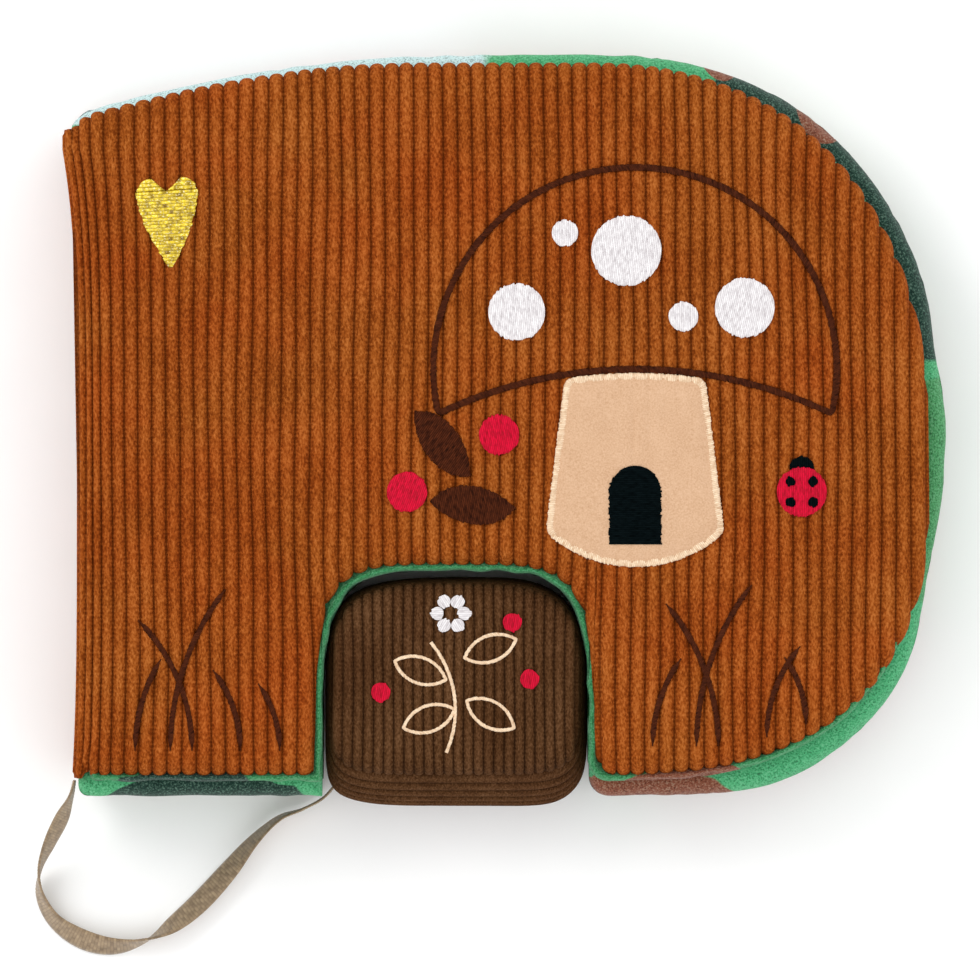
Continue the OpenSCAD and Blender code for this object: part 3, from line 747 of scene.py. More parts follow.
# Corduroy over a padded cover: a grid of ribs by rows lies on a cushion whose edge is a quarter
# circle of the distance to the outline, and whose side at the spine is the hinge cloth's section;
# each rib stands out along the cushion's own direction
def ribbedFace(name, lim, places, rows, dips, flat, zBase, up):
    c = coverRoll
    start = phaseAt(hingeSplit)
    count = int((lim["right"] - lim["left"]) / c["pitch"]) + 6
    phase = (np.arange(count)[:, None] + places).ravel()
    phase = np.append(start, phase[phase > start + 0.02])
    xs, _, outX, outZ = onHinge(phase)
    keep = xs < lim["right"] - 0.03
    phase, xs, outX, outZ = phase[keep], xs[keep], outX[keep], outZ[keep]
    x, y = plan(xs, lim, c["depths"], rows)
    d, awayX, awayY, along = nearEdge(x, y, outlineOf(lim), closed=False)
    level = coverBase(x, y, d, stitchDip(x, y) if dips else None)
    rib = c["ribHeight"] * flat * ribShape(phase)[:, None] * (1 - 0.6 * pressed(x, y) * dips)
    tilt = np.clip(1 - d / c["roll"], 0, 1)
    px = x - awayX * tilt * rib + outX[:, None] * rib + wander(x, y) + leftPull(x, y, xs[0])
    py = y - awayY * tilt * rib
    pz = level + rib * np.sqrt(1 - tilt ** 2) * outZ[:, None]
    top = np.stack([px, py, zBase + up * pz], -1)
    ends = [top[:, k] * [1, 1, 0] + [0, 0, zBase] for k in (0, -1)]
    rings = np.concatenate([ends[0][:, None], top, ends[1][:, None]], 1)
    uv = np.stack([phase[:, None] * np.ones_like(x), y + 200], -1)
    uv = np.concatenate([uv[:, :1], uv, uv[:, -1:]], 1)
    return skin(name, rings, uv)


frontFace = ribbedFace("front_cover_corduroy", faceLimits, ribPlaces, coverRoll["rows"], True, 1.0,
                       liningHigh[2], 1)
frontFace.data.materials.append(rustCorduroy)
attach(frontFace, "front_cover")
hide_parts("front_cover_face")

backPlaces = np.array([0, 0.12, 0.38, 0.62, 0.88])
backFace = ribbedFace("back_cover_corduroy", faceLimits, backPlaces, 50, False, 0.95, backLow[2], -1)
backFace.data.materials.append(rustCorduroy)
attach(backFace, "back_cover")
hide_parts("back_cover_face")
print("corduroy covers made")


# A thin or padded panel of cotton: both sides swell from the seam by a quarter circle of the distance
# to the outline, with puckers that run in from the edge, waves along the outline
def clothPanel(name, lim, low, high, look):
    xs = columnsOf(lim, look["columns"])
    x, y = plan(xs, lim, np.array(look["depths"]), look["rows"])
    d, awayX, awayY, along = nearEdge(x, y, outlineOf(lim))
    half = (high - low) / 2
    fade = np.exp(-d / look["puckerReach"])
    wave = np.sin(along / 1.9 + 2 * np.sin(along / 7.3)) * np.sin(along / 13 + look["seed"])
    pucker = look["pucker"] * wave * fade
    bead = look["bead"] * np.exp(-((d - look["beadAt"]) / look["beadWide"]) ** 2)
    bead *= (1 + 0.14 * np.sin(along * 2.6 + 2 * np.sin(along / 3.1))) * np.where(y < lim["rise"] + 2, 1, 0)
    lift = half * puff(d, look["roll"]) + bead + pucker * puff(d, 0.6)
    outX, outY = look["out"](x, y)
    px = x + outX - awayX * pucker * 0.6 + leftPull(x, y, -97.0)
    py = y + outY - awayY * pucker * 0.6
    middle = (low + high) / 2
    top = np.stack([px, py, middle + lift], -1)
    under = np.stack([px, py, middle - half * puff(d, look["roll"]) - pucker * puff(d, 0.6) * 0.5], -1)
    rings = np.concatenate([top, under[:, -2:0:-1]], 1)
    uv = rings[..., :2] + 200
    return skin(name, rings, uv)


def noShift(x, y):
    return 0, 0


liningLook = {
    "columns": (36, 80, 60), "depths": (0, 0.05, 0.2, 0.45, 0.8, 1.2, 2, 4), "rows": 40,
    "roll": 0.75, "pucker": 0.5, "puckerReach": 2.4, "bead": 2.6, "beadAt": 0.85, "beadWide": 1.0,
    "seed": 0.4, "out": noShift,
}
liningLimits = limits(liningLow[0], liningHigh[0] - 1, liningHigh[1] - 1, liningLow[1], 0)
frontLining = clothPanel("front_cover_cotton", liningLimits, liningLow[2], liningHigh[2], liningLook)
frontLining.data.materials.append(liningCotton)
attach(frontLining, "front_cover")
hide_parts("front_cover_lining")

backLining = clothPanel("back_cover_cotton", liningLimits, backLow[2], backHigh[2],
                        dict(liningLook, bead=0.0))
backLining.data.materials.append(liningCotton)
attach(backLining, "back_cover")
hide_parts("back_cover_lining")


# The leaves stand out most at the widest point and are drawn in above and below it, by bell curves
# of the height, and along the top edge towards the spine; they hang lower at the right foot
def foreEdge(x, y):
    near = np.clip((x - 60) / 35, 0, 1)
    top = np.clip((y - 40) / 20, 0, 1) * np.clip((0 - x) / 50, 0, 1)
    foot = np.clip((-40 - y) / 20, 0, 1) * np.exp(-((x - 62) / 16) ** 2)
    return near * (-2.6 * np.exp(-((y + 34) / 17) ** 2) - 1.0 * np.exp(-((y - 18) / 9) ** 2)), (
        -1.1 * top - 1.8 * foot)


leafLimits = limits(leafLow[0], leafHigh[0], leafHigh[1], leafLow[1], 0.1)
leafLook = {
    "columns": (40, 80, 80), "depths": (0, 0.05, 0.25, 0.7, 1.4, 2.4, 4, 7), "rows": 40,
    "roll": 4.2, "pucker": 0.3, "puckerReach": 3, "bead": 0.0, "beadAt": 0, "beadWide": 1,
    "out": foreEdge,
}
leafCount = 3
leafCloths = [
    cotton("leafCottonLow", moss, [(rust, (60, -60), (50, 26), 0.4), (skyBlue, (-70, 80), (60, 24), 0.2)]),
    cotton("leafCottonMiddle", darkGreen, [
        (green, (90, -40), (36, 60), 0.3), (skyBlue, (-80, 70), (70, 30), 0.2)]),
    cotton("leafCottonTop", linear(70, 170, 112), [
        (skyBlue, (-60, 86), (56, 22), 0.1), (darkGreen, (96, 62), (52, 46), 0.0),
        (rust, (50, 86), (5, 6), 0.3), (rust, (74, 74), (7, 9), 0.3),
        (linear(70, 150, 90), (110, -14), (40, 27), 0.0),
        (darkGreen, (-68, -90), (26, 13), 0.3), (rust, (34, -92), (24, 16), 0.25)]),
]
leafThick = (leafHigh[2] - leafLow[2]) / leafCount
leaves = []
for k in range(leafCount):
    leaf = clothPanel(f"leaf_{k + 1}", leafLimits, leafLow[2] + k * leafThick + 0.03,
                      leafLow[2] + (k + 1) * leafThick - 0.03, dict(leafLook, seed=1.7 * k))
    leaf.data.materials.append(leafCloths[k])
    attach(leaf, "root")
    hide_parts("pages")
    leaves.append(leaf)
print("linings and leaves made")

spineLook = {
    "ribs": 6, "rows": 100, "low": -79.4, "high": 68.8,    # ends of the cloth along y
    "inside": -97.6, "base": -98.2, "bow": 0.3,
    "ribHeight": 1.1, "thick": 0.9,
}


# A closed section of x and z carried along y, drawn in between its ends as the covers are
def spineStrip(name, section, phase, low, high):
    y = np.linspace(low, high, spineLook["rows"])
    ends = 1 - np.clip(np.minimum(y - low, high - y) / 1.2, 0, 1) ** 0.5
    x = section[None, :, 0] + leftPull(0 * y - 97, y, -97)[:, None]
    x = x + (section[:, 0].mean() - section[None, :, 0]) * 0.6 * ends[:, None]
    z = np.broadcast_to(section[None, :, 1], x.shape)
    rings = np.stack([x, np.broadcast_to(y[:, None], x.shape), z], -1)
    uv = np.stack(np.broadcast_arrays(phase[None, :], y[:, None] + 200), -1)
    return skin(name, rings, uv)


phase = (np.arange(spineLook["ribs"])[:, None] + ribPlaces).ravel()
phase = np.append(phase, spineLook["ribs"])
share = phase / spineLook["ribs"]
bowed = spineLook["base"] - spineLook["bow"] * np.sin(np.pi * share)
outX = bowed - spineLook["ribHeight"] * ribShape(phase)
bottomZ, topZ = backAxis + 2.0, frontAxis - 2.0
outZ = bottomZ + share * (topZ - bottomZ)
innerX = spineLook["inside"]
section = np.vstack([np.stack([outX, outZ], 1), [[innerX, topZ], [innerX, bottomZ]]])
spine = spineStrip("spine_corduroy", section, np.append(phase, [phase[-1], 0]),
                   spineLook["low"], spineLook["high"])
spine.data.materials.append(rustCorduroy)
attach(spine, "root")
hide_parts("spine")

# The hinge cloth's ribs on its outer side, and a smooth inner side
phase = (np.arange(6)[:, None] + ribPlaces).ravel()
phase = np.append(phase[phase < phaseAt(hingeSplit) - 0.02], phaseAt(hingeSplit))
baseX, baseZ, outX, outZ = onHinge(phase)
rib = coverRoll["ribHeight"] * ribShape(phase)
outer = np.stack([baseX + outX * rib, baseZ + outZ * rib], 1)
inner = np.stack([baseX - outX * spineLook["thick"], baseZ - outZ * spineLook["thick"]], 1)[::-1]
for label, axisZ, up, body in (
        ("front", frontAxis, 1, "front_cover"), ("back", backAxis, -1, "back_cover")):
    section = np.vstack([outer, inner]) * [1, up] + [0, axisZ]
    fold = spineStrip(label + "_hinge_fold", section, np.append(phase, phase[::-1]),
                      spineLook["low"], spineLook["high"])
    fold.data.materials.append(rustCorduroy)
    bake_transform(fold)
print("spine and hinge folds made")

padLow, padHigh = boxOf("pad_top")
bandLow, bandHigh = boxOf("pad_side_band")
baseLow, baseHigh = boxOf("pad_base")
padLook = {
    "pitch": 2.3, "ribHeight": 0.7, "half": 28, "topPower": 3.4, "footPower": 6, "swell": 2.0, "crown": 4.5,
    "edge": 0.6, "bandAround": 300, "footUp": 2.0,
}


# The pad's outline about its middle at angles a: two superellipses, tighter at the lower corners
def padOutline(a, half, tall):
    cos, sin = np.cos(a), np.sin(a)
    power = np.where(sin > 0, padLook["topPower"], padLook["footPower"])
    aside = half * np.sign(cos) * np.abs(cos) ** (2 / power)
    return aside, tall * np.sign(sin) * np.abs(sin) ** (2 / power)


# A ribbed panel inside the pad's outline: its height rises by a quarter circle of the distance to
# its edge, and the ribs stand out along the surface's own direction
def padPanel(name, low, high, up, lowY, highY, places, rows):
    p = padLook
    middleX, middleY = bookShape["archMiddle"], (lowY + highY) / 2
    tall = (highY - lowY) / 2
    phase = ribColumns(-p["half"] + 0.05, p["half"] - 0.05, p["pitch"], places)
    xs = -p["half"] + 0.05 + phase * p["pitch"]
    above, below = (tall * bulge(xs / p["half"], p[power])[:, None] for power in ("topPower", "footPower"))
    t = (1 + np.sin(np.linspace(-np.pi / 2, np.pi / 2, rows))) / 2
    x, y = np.broadcast_arrays(xs[:, None], (above + below) * t - below)
    line = np.stack(padOutline(np.linspace(0, 2 * np.pi, 400, endpoint=False), p["half"], tall), 1)
    d, awayX, awayY, along = nearEdge(x, y, line)
    tilt = np.clip(1 - d / p["crown"], 0, 1)
    rib = p["ribHeight"] * ribShape(phase)[:, None] * np.ones_like(x)
    level = p["edge"] + (high - low - p["ribHeight"] - p["edge"]) * puff(d, p["crown"])
    px = middleX + x - awayX * tilt * rib + 0.12 * np.sin(y / 7 + x / 5)
    py = middleY + y - awayY * tilt * rib
    pz = level + rib * np.sqrt(1 - tilt ** 2)
    flatZ = low if up > 0 else high
    top = np.stack([px, py, flatZ + up * pz], -1)
    ends = [top[:, k] * [1, 1, 0] + [0, 0, flatZ] for k in (0, -1)]
    rings = np.concatenate([ends[0][:, None], top, ends[1][:, None]], 1)
    uv = np.stack([phase[:, None] * np.ones_like(x), y + 200], -1)
    return skin(name, rings, np.concatenate([uv[:, :1], uv, uv[:, -1:]], 1))


padTop = padPanel("pad_top_corduroy", padLow[2], padHigh[2], 1, padLow[1] + padLook["footUp"],
                  padHigh[1], ribPlaces, 70)
padBase = padPanel("pad_base_corduroy", baseLow[2], baseHigh[2], -1, baseLow[1], baseHigh[1],
                   backPlaces, 40)


# The pad's side: its outline carried up from base to top, swelling between them, with ribs that run
# round it; its foot leans in by a power of the height above the middle
def padBand(name):
    p = padLook
    count = round((bandHigh[2] - bandLow[2]) / p["pitch"])
    phase = np.append((np.arange(count)[:, None] + ribPlaces).ravel(), count)
    share = phase[:, None] / count
    a = np.linspace(0, 2 * np.pi, p["bandAround"], endpoint=False)[None, :]
    rounded = np.maximum(0, 1 - (2 * share - 1) ** 2) ** 0.4
    hollow = p["ribHeight"] * (1 - ribShape(phase)[:, None]) * np.sin(np.pi * share) ** 0.3
    swell = p["swell"] * rounded - hollow
    swell = swell + 0.2 * np.sin(5 * a + 2) * np.sin(np.pi * share)
    topY = baseHigh[1] * (1 - share) + padHigh[1] * share
    footY = baseLow[1] + (padLow[1] + p["footUp"] - baseLow[1]) * np.clip(2 * share - 1, 0, 1) ** 1.6
    middleY, tall = (topY + footY) / 2, (topY - footY) / 2
    x, y = padOutline(a + 0 * share, p["half"] + swell, tall + swell)
    z = bandLow[2] + share * (bandHigh[2] - bandLow[2]) + 0 * a
    uv = np.stack(np.broadcast_arrays(phase[:, None], a * 30 + 200), -1)
    return skin(name, np.stack([x + bookShape["archMiddle"], y + middleY, z], -1), uv)


padSide = padBand("pad_side_corduroy")
for piece, node in ((padTop, "pad_top"), (padBase, "pad_base"), (padSide, "pad_side_band")):
    piece.data.materials.append(brownCorduroy)
    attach(piece, "root")
    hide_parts(node)
print("pad made")

ribbonLook = {
    "width": 6, "thick": 0.55, "ridge": 0.75, "ridgeHeight": 0.07, "steps": 40,
    "route": np.array([
        [-98.4, -80.2, 19, 0], [-99.3, -84, 17.5, 8], [-101.5, -89, 14, 30], [-104.5, -95, 9.5, 25],
        [-106.8, -101, 5.5, 5], [-106.8, -107, 3.6, -20], [-103.4, -113, 3, -35], [-97, -117.2, 2.6, -50],
        [-90, -118.8, 2.8, -40], [-83, -117.6, 3.2, -10], [-76.5, -114, 3, 35], [-70, -108.6, 2.6, 50],
        [-63.5, -101.5, 2.8, 45], [-57.6, -94.4, 3.2, 25], [-51.8, -89.3, 3.8, 10], [-46.4, -87.2, 4.6, 0],
        [-41.6, -84.6, 5.4, 0], [-38.5, -81.2, 6, 0]]),
}


# Catmull-Rom curve through the points, steps to each span
def smoothRoute(points, steps):
    ends = np.vstack([points[:1], points, points[-1:]])
    t = (np.arange(steps) / steps)[None, :, None]
    p, q, r, s = (ends[k:len(points) - 1 + k, None] for k in range(4))
    curve = 0.5 * (2 * q + (r - p) * t + (2 * p - 5 * q + 4 * r - s) * t ** 2
                   + (3 * q - p - 3 * r + s) * t ** 3)
    return np.vstack([curve.reshape(-1, points.shape[1]), points[-1:]])


# A flat section carried along the route and leaned by its fourth number, with ridges across that come
# and go along the length
def ribbonStrip(name):
    r = ribbonLook
    line = evenPath(smoothRoute(r["route"], r["steps"]), 0.19)
    centre, lean = line[:, :3], np.radians(line[:, 3])
    ahead = np.gradient(centre, axis=0)
    flat = np.linalg.norm(ahead[:, :2], axis=1)
    side = np.stack([ahead[:, 1] / flat, -ahead[:, 0] / flat, 0 * flat], 1)
    up = np.array([0, 0, 1.0])
    along = np.cos(lean)[:, None] * up + np.sin(lean)[:, None] * side
    across = -np.sin(lean)[:, None] * up + np.cos(lean)[:, None] * side
    wide = np.concatenate([np.linspace(-0.5, 0.5, 9), np.linspace(0.5, -0.5, 9)])
    face = np.repeat([0.5, -0.5], 9) * np.where(np.abs(wide) > 0.49, 0.35, 1)
    travel = np.append(0, np.cumsum(np.linalg.norm(np.diff(centre, axis=0), axis=1)))
    ridge = r["ridgeHeight"] * np.abs(np.sin(np.pi * travel / r["ridge"]))[:, None]
    out = r["thick"] * face + ridge * np.sign(face) * (np.abs(wide) < 0.47)
    rings = (centre[:, None] + r["width"] * wide[None, :, None] * along[:, None]
             + out[..., None] * across[:, None])
    uv = np.stack(np.broadcast_arrays(travel[:, None] / r["ridge"], wide[None, :] * r["width"] + 10), -1)
    return skin(name, rings, uv), centre


def grosgrain(name, light, dark):
    material, tree, shader = newMaterial(name, 0.5)
    shader.inputs["Sheen Weight"].default_value = 0.2
    uv = scaledUv(tree, (1, 1, 1))
    rows = useGroup(tree, threadGroup, {"Vector": uv})
    cross = add(tree, "ShaderNodeTexWave", {"Vector": scaledUv(tree, (0, 1, 1)), "Scale": 1.1},
                bands_direction="Y")
    tint = ramp(tree, rows.outputs["Tone"], [(0.25, dark), (0.7, light)])
    tint = blendColour(tree, calc(tree, "MULTIPLY", rows.outputs["Gap"], 0.6), tint, dark)
    tint = blendColour(tree, calc(tree, "MULTIPLY", cross.outputs["Fac"], 0.15), tint, dark)
    tree.links.new(tint, shader.inputs["Base Color"])
    bump(tree, shader, cross.outputs["Fac"], 0.05, 0.4)
    return material


ribbon, ribbonCentre = ribbonStrip("grosgrain_ribbon")
ribbon.data.materials.append(grosgrain("beigeGrosgrain", linear(168, 144, 112), linear(106, 84, 58)))
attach(ribbon, "root")
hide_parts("ribbon")

cells = [low + np.arange(int(size / coverMap["edgeCell"]) + 1) * coverMap["edgeCell"]
         for low, size in zip(coverMap["low"], coverMap["size"])]
cellX, cellY = np.meshgrid(*cells, indexing="ij")
edgeMap = nearEdge(cellX, cellY, outlineOf(faceLimits), closed=False)[0]


# Height of the front cover's cloth at any point, dipping into its grooves by a share of their depth;
# a rib's place is its count before the cloth is drawn aside
def coverTop(x, y, ribShare):
    d = onMap(edgeMap, coverMap["edgeCell"], x, y)
    before = x - wander(x, y) - leftPull(x, y, -96.8)
    phase = phaseAt(np.interp(before, hingeLine[29:, 0], hingeLength[29:]))
    base = coverBase(before, y, d, stitchDip(x, y))
    return liningHigh[2] + base + coverRoll["ribHeight"] * (1 - ribShare * (1 - ribShape(phase)))


def padTopLevel(x, y, ribShare):
    phase = (x - bookShape["archMiddle"] + padLook["half"] - 0.05) / padLook["pitch"]
    return padHigh[2] - padLook["ribHeight"] * ribShare * (1 - ribShape(phase)) + 0 * y


threadLook = {"pitch": 0.42, "thick": 0.22, "ragged": 0.2, "sink": 1.2}


# A satin line: half an ellipse carried along a path, its threads lying across it at a slant and
# standing out in turn, with a ragged edge
def threadLine(line, width, height, level, closed=False, taper=0.0, slant=0.9):
    t = threadLook
    path = evenPath(line, t["pitch"] / 4, closed)
    if closed:
        ahead = np.roll(path, -1, 0) - np.roll(path, 1, 0)
    else:
        ahead = np.gradient(path, axis=0)
    ahead /= np.linalg.norm(ahead, axis=1)[:, None]
    side = np.stack([-ahead[:, 1], ahead[:, 0]], 1)
    travel = np.arange(len(path)) * t["pitch"] / 4
    angle = np.radians([188, 165, 140, 110, 80, 50, 20, -8])
    off = np.cos(angle)[None, :]
    count = travel[:, None] / t["pitch"] + slant * off
    ridge = np.abs(np.sin(np.pi * count)) ** 0.7
    thread = np.floor(count).astype(int)
    jitter = rng.uniform(-1, 1, thread.max() - thread.min() + 2)[thread - thread.min()]
    ends = 1.0
    if taper > 0:
        ends = np.clip(np.minimum(travel, travel[-1] - travel) / taper, 0.25, 1)[:, None]
    reach = width / 2 * ends * (1 + 0.14 * jitter * np.abs(off)) * off
    x = path[:, :1] + side[:, :1] * reach
    y = path[:, 1:] + side[:, 1:] * reach
    ground = level(x, y, 0.5)
    rise = height * ends * np.maximum(0, np.sin(angle))[None, :] * (0.62 + 0.38 * ridge) + 0.12
    z = ground + rise - np.where(np.sin(angle) < 0, t["sink"], 0)[None, :]
    uv = np.stack([count, reach + 20], -1)
    return np.stack([x, y, z], -1), uv, closed


# Rows of thread that fill a shape: row s runs from low(s) to high(s). The rows are turned about
# middle, each is round across, and the whole swells by a quarter circle from its edge
def satinFill(rows, low, high, turn, middle, dome, level, along=22, base=0.15, spacing=threadLook["pitch"]):
    t = threadLook
    count = max(3, int((rows[1] - rows[0]) / spacing))
    pitch = (rows[1] - rows[0]) / count
    phase = (np.arange(count)[:, None] + [0.02, 0.25, 0.5, 0.75]).ravel()
    phase = np.append(phase, count - 0.02)
    s = rows[0] + phase * pitch
    thread = np.minimum(phase.astype(int), count - 1)
    rag = rng.uniform(-t["ragged"], t["ragged"], (2, count))
    start, end = low(s) + rag[0][thread], high(s) + rag[1][thread]
    mix = (1 - np.cos(np.linspace(0, np.pi, along)))[None, :] / 2
    v = start[:, None] + (end - start)[:, None] * mix
    u = np.broadcast_to(s[:, None], v.shape)
    c, d = np.cos(np.radians(turn)), np.sin(np.radians(turn))
    x, y = middle[0] + v * c - u * d, middle[1] + v * d + u * c
    room = np.minimum(np.minimum(v - start[:, None], end[:, None] - v),
                      np.minimum(s - rows[0], rows[1] - s)[:, None] + 0.15)
    waver = 0.05 * np.sin(v * 2.3 + thread[:, None] * 2.1)
    rise = base + dome * puff(room, 1.6) + t["thick"] * np.sin(np.pi * (phase - thread))[:, None] + waver
    top = np.stack([x, y, level(x, y, 0.22) + rise], -1)
    ends = [top[:, k] - [0, 0, t["sink"] + base] for k in (0, -1)]
    rings = np.concatenate([ends[0][:, None], top, ends[1][:, None]], 1)
    uv = np.stack([np.broadcast_to(phase[:, None], v.shape), v + 40], -1)
    return rings, np.concatenate([uv[:, :1], uv, uv[:, -1:]], 1), False


def discFill(middle, radius, turn, dome, level, **more):
    def half(s):
        return np.sqrt(np.maximum(0.02, radius ** 2 - s ** 2))
    return satinFill((-radius, radius), lambda s: -half(s), half, turn, middle, dome, level, **more)


# A pointed leaf between two arcs, with its threads across it
def leafFill(middle, turn, length, width, dome, level, **more):
    r = (length ** 2 + width ** 2) / 4 / width

    def half(s):
        return np.maximum(0.1, np.sqrt(np.maximum(0, r * r - s * s)) - r + width / 2)
    return satinFill((-length / 2, length / 2), lambda s: -half(s) + 0.25 * s, lambda s: half(s) + 0.25 * s,
                     turn - 90, middle, dome, level, **more)


def stitched(name, parts, material, node, body):
    piece = skins(name, parts)
    piece.data.materials.append(material)
    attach(piece, body)
    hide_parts(node)
    return piece


t = toadstool
stitched("cap_outline_stitch", [threadLine(capLine, 1.55, 0.55, coverTop, True)],
         brownThread, "toadstool_outline", "front_cover")
stitched("grass_stitch", [threadLine(line, 1.3, 0.5, coverTop, taper=2.5) for line in bladeLines],
         brownThread, "grass_stitching", "front_cover")
stitched("stem_border_stitch", [threadLine(stemLine, 1.9, 0.7, coverTop, True, slant=0.3)],
         creamThread, "stem_border", "front_cover")

capX, capY = t["capMiddle"]
stitched("cap_spots_satin", [
    discFill((capX - 2, capY + 27), 8, 84, 0.3, coverTop),
    discFill((capX - 27, capY + 13), 6.5, 95, 0.3, coverTop),
    discFill((capX + 25, capY + 14), 6.8, 78, 0.3, coverTop),
    discFill((capX - 16, capY + 31), 3, 90, 0.3, coverTop, along=14),
    discFill((capX + 11, capY + 12), 3.4, 90, 0.3, coverTop, along=14)],
    whiteThread, "white_spots", "front_cover")
stitched("berries_satin", [discFill((-22, -14), 4.6, 70, 0.3, coverTop, along=16),
                           discFill((-1, -1), 4.6, 100, 0.3, coverTop, along=16)],
         redThread, "red_berries", "front_cover")
stitched("leaves_satin", [leafFill((-14, -3), 145, 19, 9, 0.3, coverTop),
                          leafFill((-7, -17), 190, 19, 9, 0.3, coverTop)],
         brownThread, "leaf_patches", "front_cover")
print("outline, spots and leaves stitched")


# A patch of cloth: the outline shrunk towards its middle by each share, rising by a quarter circle of
# the distance from its edge
def domedPatch(name, line, shares, level, lift, dome, edgeReach):
    middle = line.mean(0)
    size = np.linalg.norm(line - middle, axis=1)[None, :]
    share = np.array(shares)[:, None]
    x, y = (middle[k] + (line[None, :, k] - middle[k]) * share for k in (0, 1))
    rise = lift + dome * puff((1 - share) * size, edgeReach)
    z = level(x, y, 0.3) + rise
    z[0] -= threadLook["sink"] + lift
    uv = np.stack([x, y], -1) + 200
    return skin(name, np.stack([x, y, z], -1), uv)


def velour(name, mean, dark, light):
    material, tree, shader = newMaterial(name, 0.95)
    shader.inputs["Sheen Weight"].default_value = 0.15
    shader.inputs["Sheen Roughness"].default_value = 0.4
    shader.inputs["Specular IOR Level"].default_value = 0.1
    pile = useGroup(tree, pileGroup, {"Vector": objectMm(tree), "Tufts": 2.6, "Mottle": 0.16})
    tint = ramp(tree, pile.outputs["Tone"], [(0.3, dark), (0.72, light), (0.5, mean)])
    tree.links.new(tint, shader.inputs["Base Color"])
    bump(tree, shader, pile.outputs["Height"], 0.2, 0.5)
    return material


stemPatch = domedPatch("stem_velour", evenPath(stemLine, 0.8, True), [
    1.0, 0.995, 0.98, 0.95, 0.9, 0.84, 0.76, 0.67, 0.57, 0.46, 0.35, 0.24, 0.13, 0.03],
    coverTop, 0.45, 0.35, 5)
stemPatch.data.materials.append(velour("beigeVelour", linear(204, 166, 133), linear(188, 148, 114),
                                       linear(216, 179, 147)))
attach(stemPatch, "front_cover")
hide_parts("stem_patch")


def onStem(x, y, ribShare):
    return coverTop(x, y, ribShare) + 0.55


# The door's half width over height s: straight sides and a round head
def doorEnd(s):
    wide, tall = t["door"]
    up = np.maximum(0, s - (tall - wide / 2))
    return np.sqrt(np.maximum(0.05, (wide / 2) ** 2 - up ** 2))


stitched("door_satin", [satinFill((0, t["door"][1]), lambda s: -doorEnd(s), doorEnd, 0,
                                  (capX, t["doorFoot"]), 0.4, onStem)],
         blackThread, "door_patch", "front_cover")

ladybird = {"at": (68, -14), "radius": 5.7}
atX, atY = ladybird["at"]
stitched("ladybird_satin", [discFill((atX, atY), ladybird["radius"], 90, 0.35, coverTop)],
         redThread, "ladybird_shell", "front_cover")


def onShell(x, y, ribShare):
    return coverTop(x, y, ribShare) + 0.5


def headHigh(s):
    return np.sqrt(np.maximum(0.05, (ladybird["radius"] / 2) ** 2 - s ** 2))


spotX, spotY = ladybird["radius"] / 2.2, ladybird["radius"] / 2.4
stitched("ladybird_marks_satin", [
    discFill((atX + sx * spotX, atY + sy * spotY), ladybird["radius"] / 5, 90, 0.2, onShell, along=8)
    for sx in (-1, 1) for sy in (-1, 1)] + [
    satinFill((-2.8, 2.8), lambda s: 0 * s, headHigh, 90, (atX, atY + ladybird["radius"] - 0.4), 0.3,
              coverTop, along=10)],
    blackThread, "ladybird_marks", "front_cover")

heart = {"at": (-76.4, 47.4), "width": 14, "height": 20.5, "notch": 2.9, "turn": 3.5, "rows": 0.74}


# Rows across the heart: one body up to the notch, then a lobe on each side of it, whose inner side
# slants up from the notch
def heartFill():
    h = heart
    lobe = h["width"] / 4 + 0.1
    lobeX, lobeY, tip = h["width"] / 2 - lobe, h["height"] / 2 - lobe, -h["height"] / 2
    top = lobeY + lobe - 0.05
    notch = top - h["notch"]

    def side(s):
        rise = np.clip((s - tip) / (lobeY - 1 - tip), 0, 1)
        head = lobeX + np.sqrt(np.maximum(0.02, lobe ** 2 - np.maximum(0, s - lobeY) ** 2))
        body = 0.5 + (h["width"] / 2 - 0.5) * (0.35 * rise + 0.65 * np.sin(rise * np.pi / 2))
        return np.minimum(head, body)

    def inner(s):
        return 0.05 + (lobeX - 0.1) * (np.maximum(0, s - notch) / h["notch"]) ** 0.9
    common = {"turn": h["turn"], "middle": h["at"], "dome": 0.3, "level": coverTop, "spacing": h["rows"]}
    return [satinFill((tip, notch), lambda s: -side(s), side, along=34, **common),
            satinFill((notch, top), inner, side, along=18, **common),
            satinFill((notch, top), lambda s: -side(s), lambda s: -inner(s), along=18, **common)]


stitched("heart_satin", heartFill(), goldThread, "heart_patch", "front_cover")
print("stem, door, ladybird and heart stitched")

sprig = {"at": (bookShape["archMiddle"], (padLow[1] + padHigh[1]) / 2), "line": 0.8}
sprigX, sprigY = sprig["at"]


def onPad(x, y, ribShare):
    return padTopLevel(x, y, ribShare)


# The outline of a pointed leaf, two arcs, as one closed line
def leafRing(middle, turn, length, width):
    r = (length ** 2 + width ** 2) / 4 / width
    reach = np.degrees(np.arcsin(length / 2 / r))
    up = arcPath((0, width / 2 - r), r, 90 - reach, 90 + reach, 30)
    down = arcPath((0, r - width / 2), r, 270 - reach, 270 + reach, 30)
    line = np.vstack([up, down[1:-1]])
    c, s = np.cos(np.radians(turn)), np.sin(np.radians(turn))
    return line @ np.array([[c, s], [-s, c]]) + middle


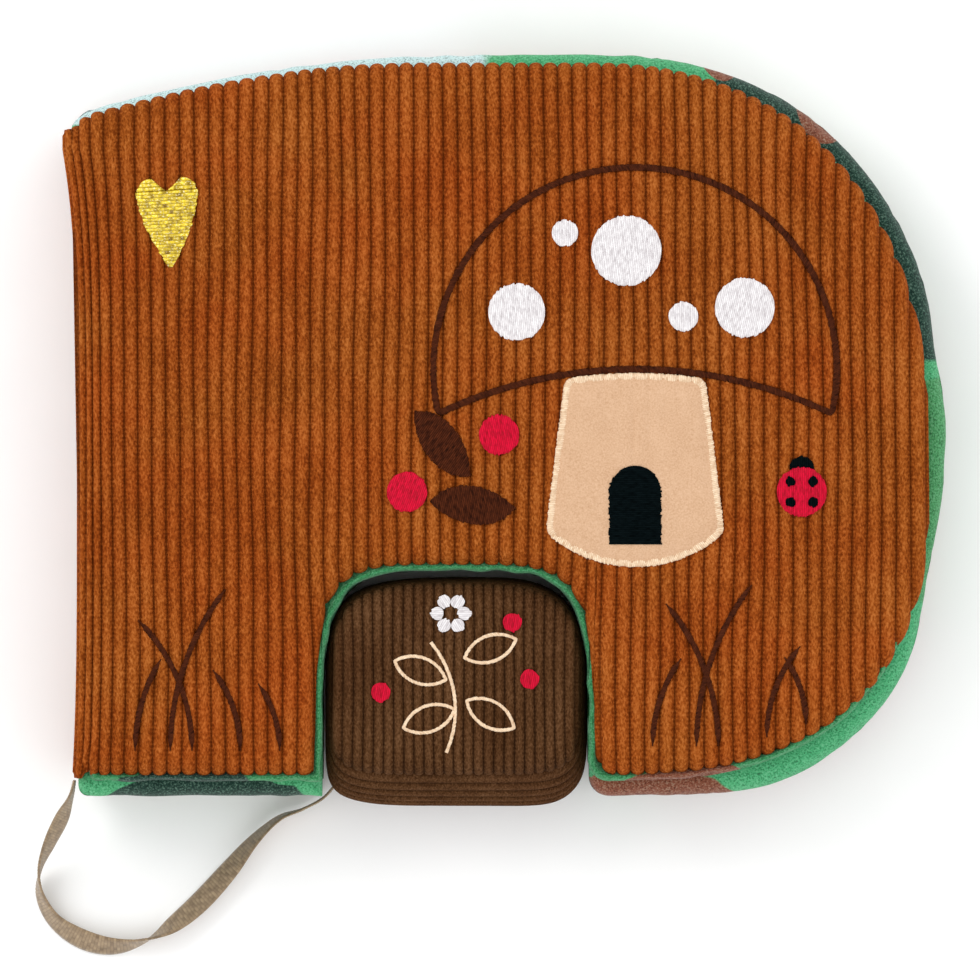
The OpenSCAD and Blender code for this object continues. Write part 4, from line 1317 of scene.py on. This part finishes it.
sprigParts = [threadLine(arcPath((sprigX - 24, sprigY - 6), 24, -24, 40, 60), sprig["line"], 0.35, onPad)]
for at, turn in (((-8, 3), 160), ((-6, -8), 200), ((8, 8), 20), ((8, -7), 330)):
    ring = leafRing((sprigX + at[0], sprigY + at[1]), turn, 12.4, 5.9)
    sprigParts.append(threadLine(ring, sprig["line"], 0.35, onPad, True))
stitched("sprig_stitch", sprigParts, creamThread, "pad_outline", "root")
stitched("daisy_satin", [discFill((sprigX - 1 + 3.1 * np.cos(a), sprigY + 16 + 3.1 * np.sin(a)), 1.55,
                                  np.degrees(a), 0.2, onPad, along=8)
                         for a in np.radians(np.arange(0, 360, 60))],
         whiteThread, "pad_daisy", "root")
stitched("pad_berries_satin", [discFill((sprigX + x, sprigY + y), 2.2, 80, 0.2, onPad, along=10)
                               for x, y in ((13, 14), (17, 1), (-17, -2))],
         redThread, "pad_berries", "root")
print("pad stitched")

studio = {"floorSize": 3.0, "world": 1.08, "key": 5, "fill": 2}
floorMesh = bpy.data.meshes.new("floor")
half = studio["floorSize"]
floorMesh.from_pydata([(-half, -half, 0), (half, -half, 0), (half, half, 0), (-half, half, 0)],
                      [], [(0, 1, 2, 3)])
floor = bpy.data.objects.new("floor", floorMesh)
bpy.context.scene.collection.objects.link(floor)
floorPaint, floorTree, floorShader = newMaterial("palePaper", 0.9)
paper = add(floorTree, "ShaderNodeTexNoise", {"Vector": objectMm(floorTree), "Scale": 0.06, "Detail": 3.0})
paperTint = ramp(floorTree, paper.outputs[0], [
    (0.3, linear(252, 252, 252)), (0.7, linear(254, 254, 254))])
floorTree.links.new(paperTint, floorShader.inputs["Base Color"])
floorMesh.materials.append(floorPaint)


def areaLight(name, place, size, power, tint=(1, 1, 1)):
    lamp = bpy.data.lights.new(name, "AREA")
    lamp.size, lamp.energy, lamp.color = size, power, tint
    obj = bpy.data.objects.new(name, lamp)
    obj.location = place
    obj.rotation_mode = "QUATERNION"
    obj.rotation_quaternion = (-obj.location).to_track_quat("-Z", "Y")
    bpy.context.scene.collection.objects.link(obj)


areaLight("key", (-0.75, 0.65, 0.95), 0.6, studio["key"], (1, 0.99, 0.97))
areaLight("fill", (0.85, -0.5, 0.8), 0.9, studio["fill"], (0.97, 0.98, 1))
world = bpy.data.worlds.new("studio")
world.use_nodes = True
world.node_tree.nodes["Background"].inputs[0].default_value = (1, 1, 1, 1)
world.node_tree.nodes["Background"].inputs[1].default_value = studio["world"]
bpy.context.scene.world = world
print("studio lit")
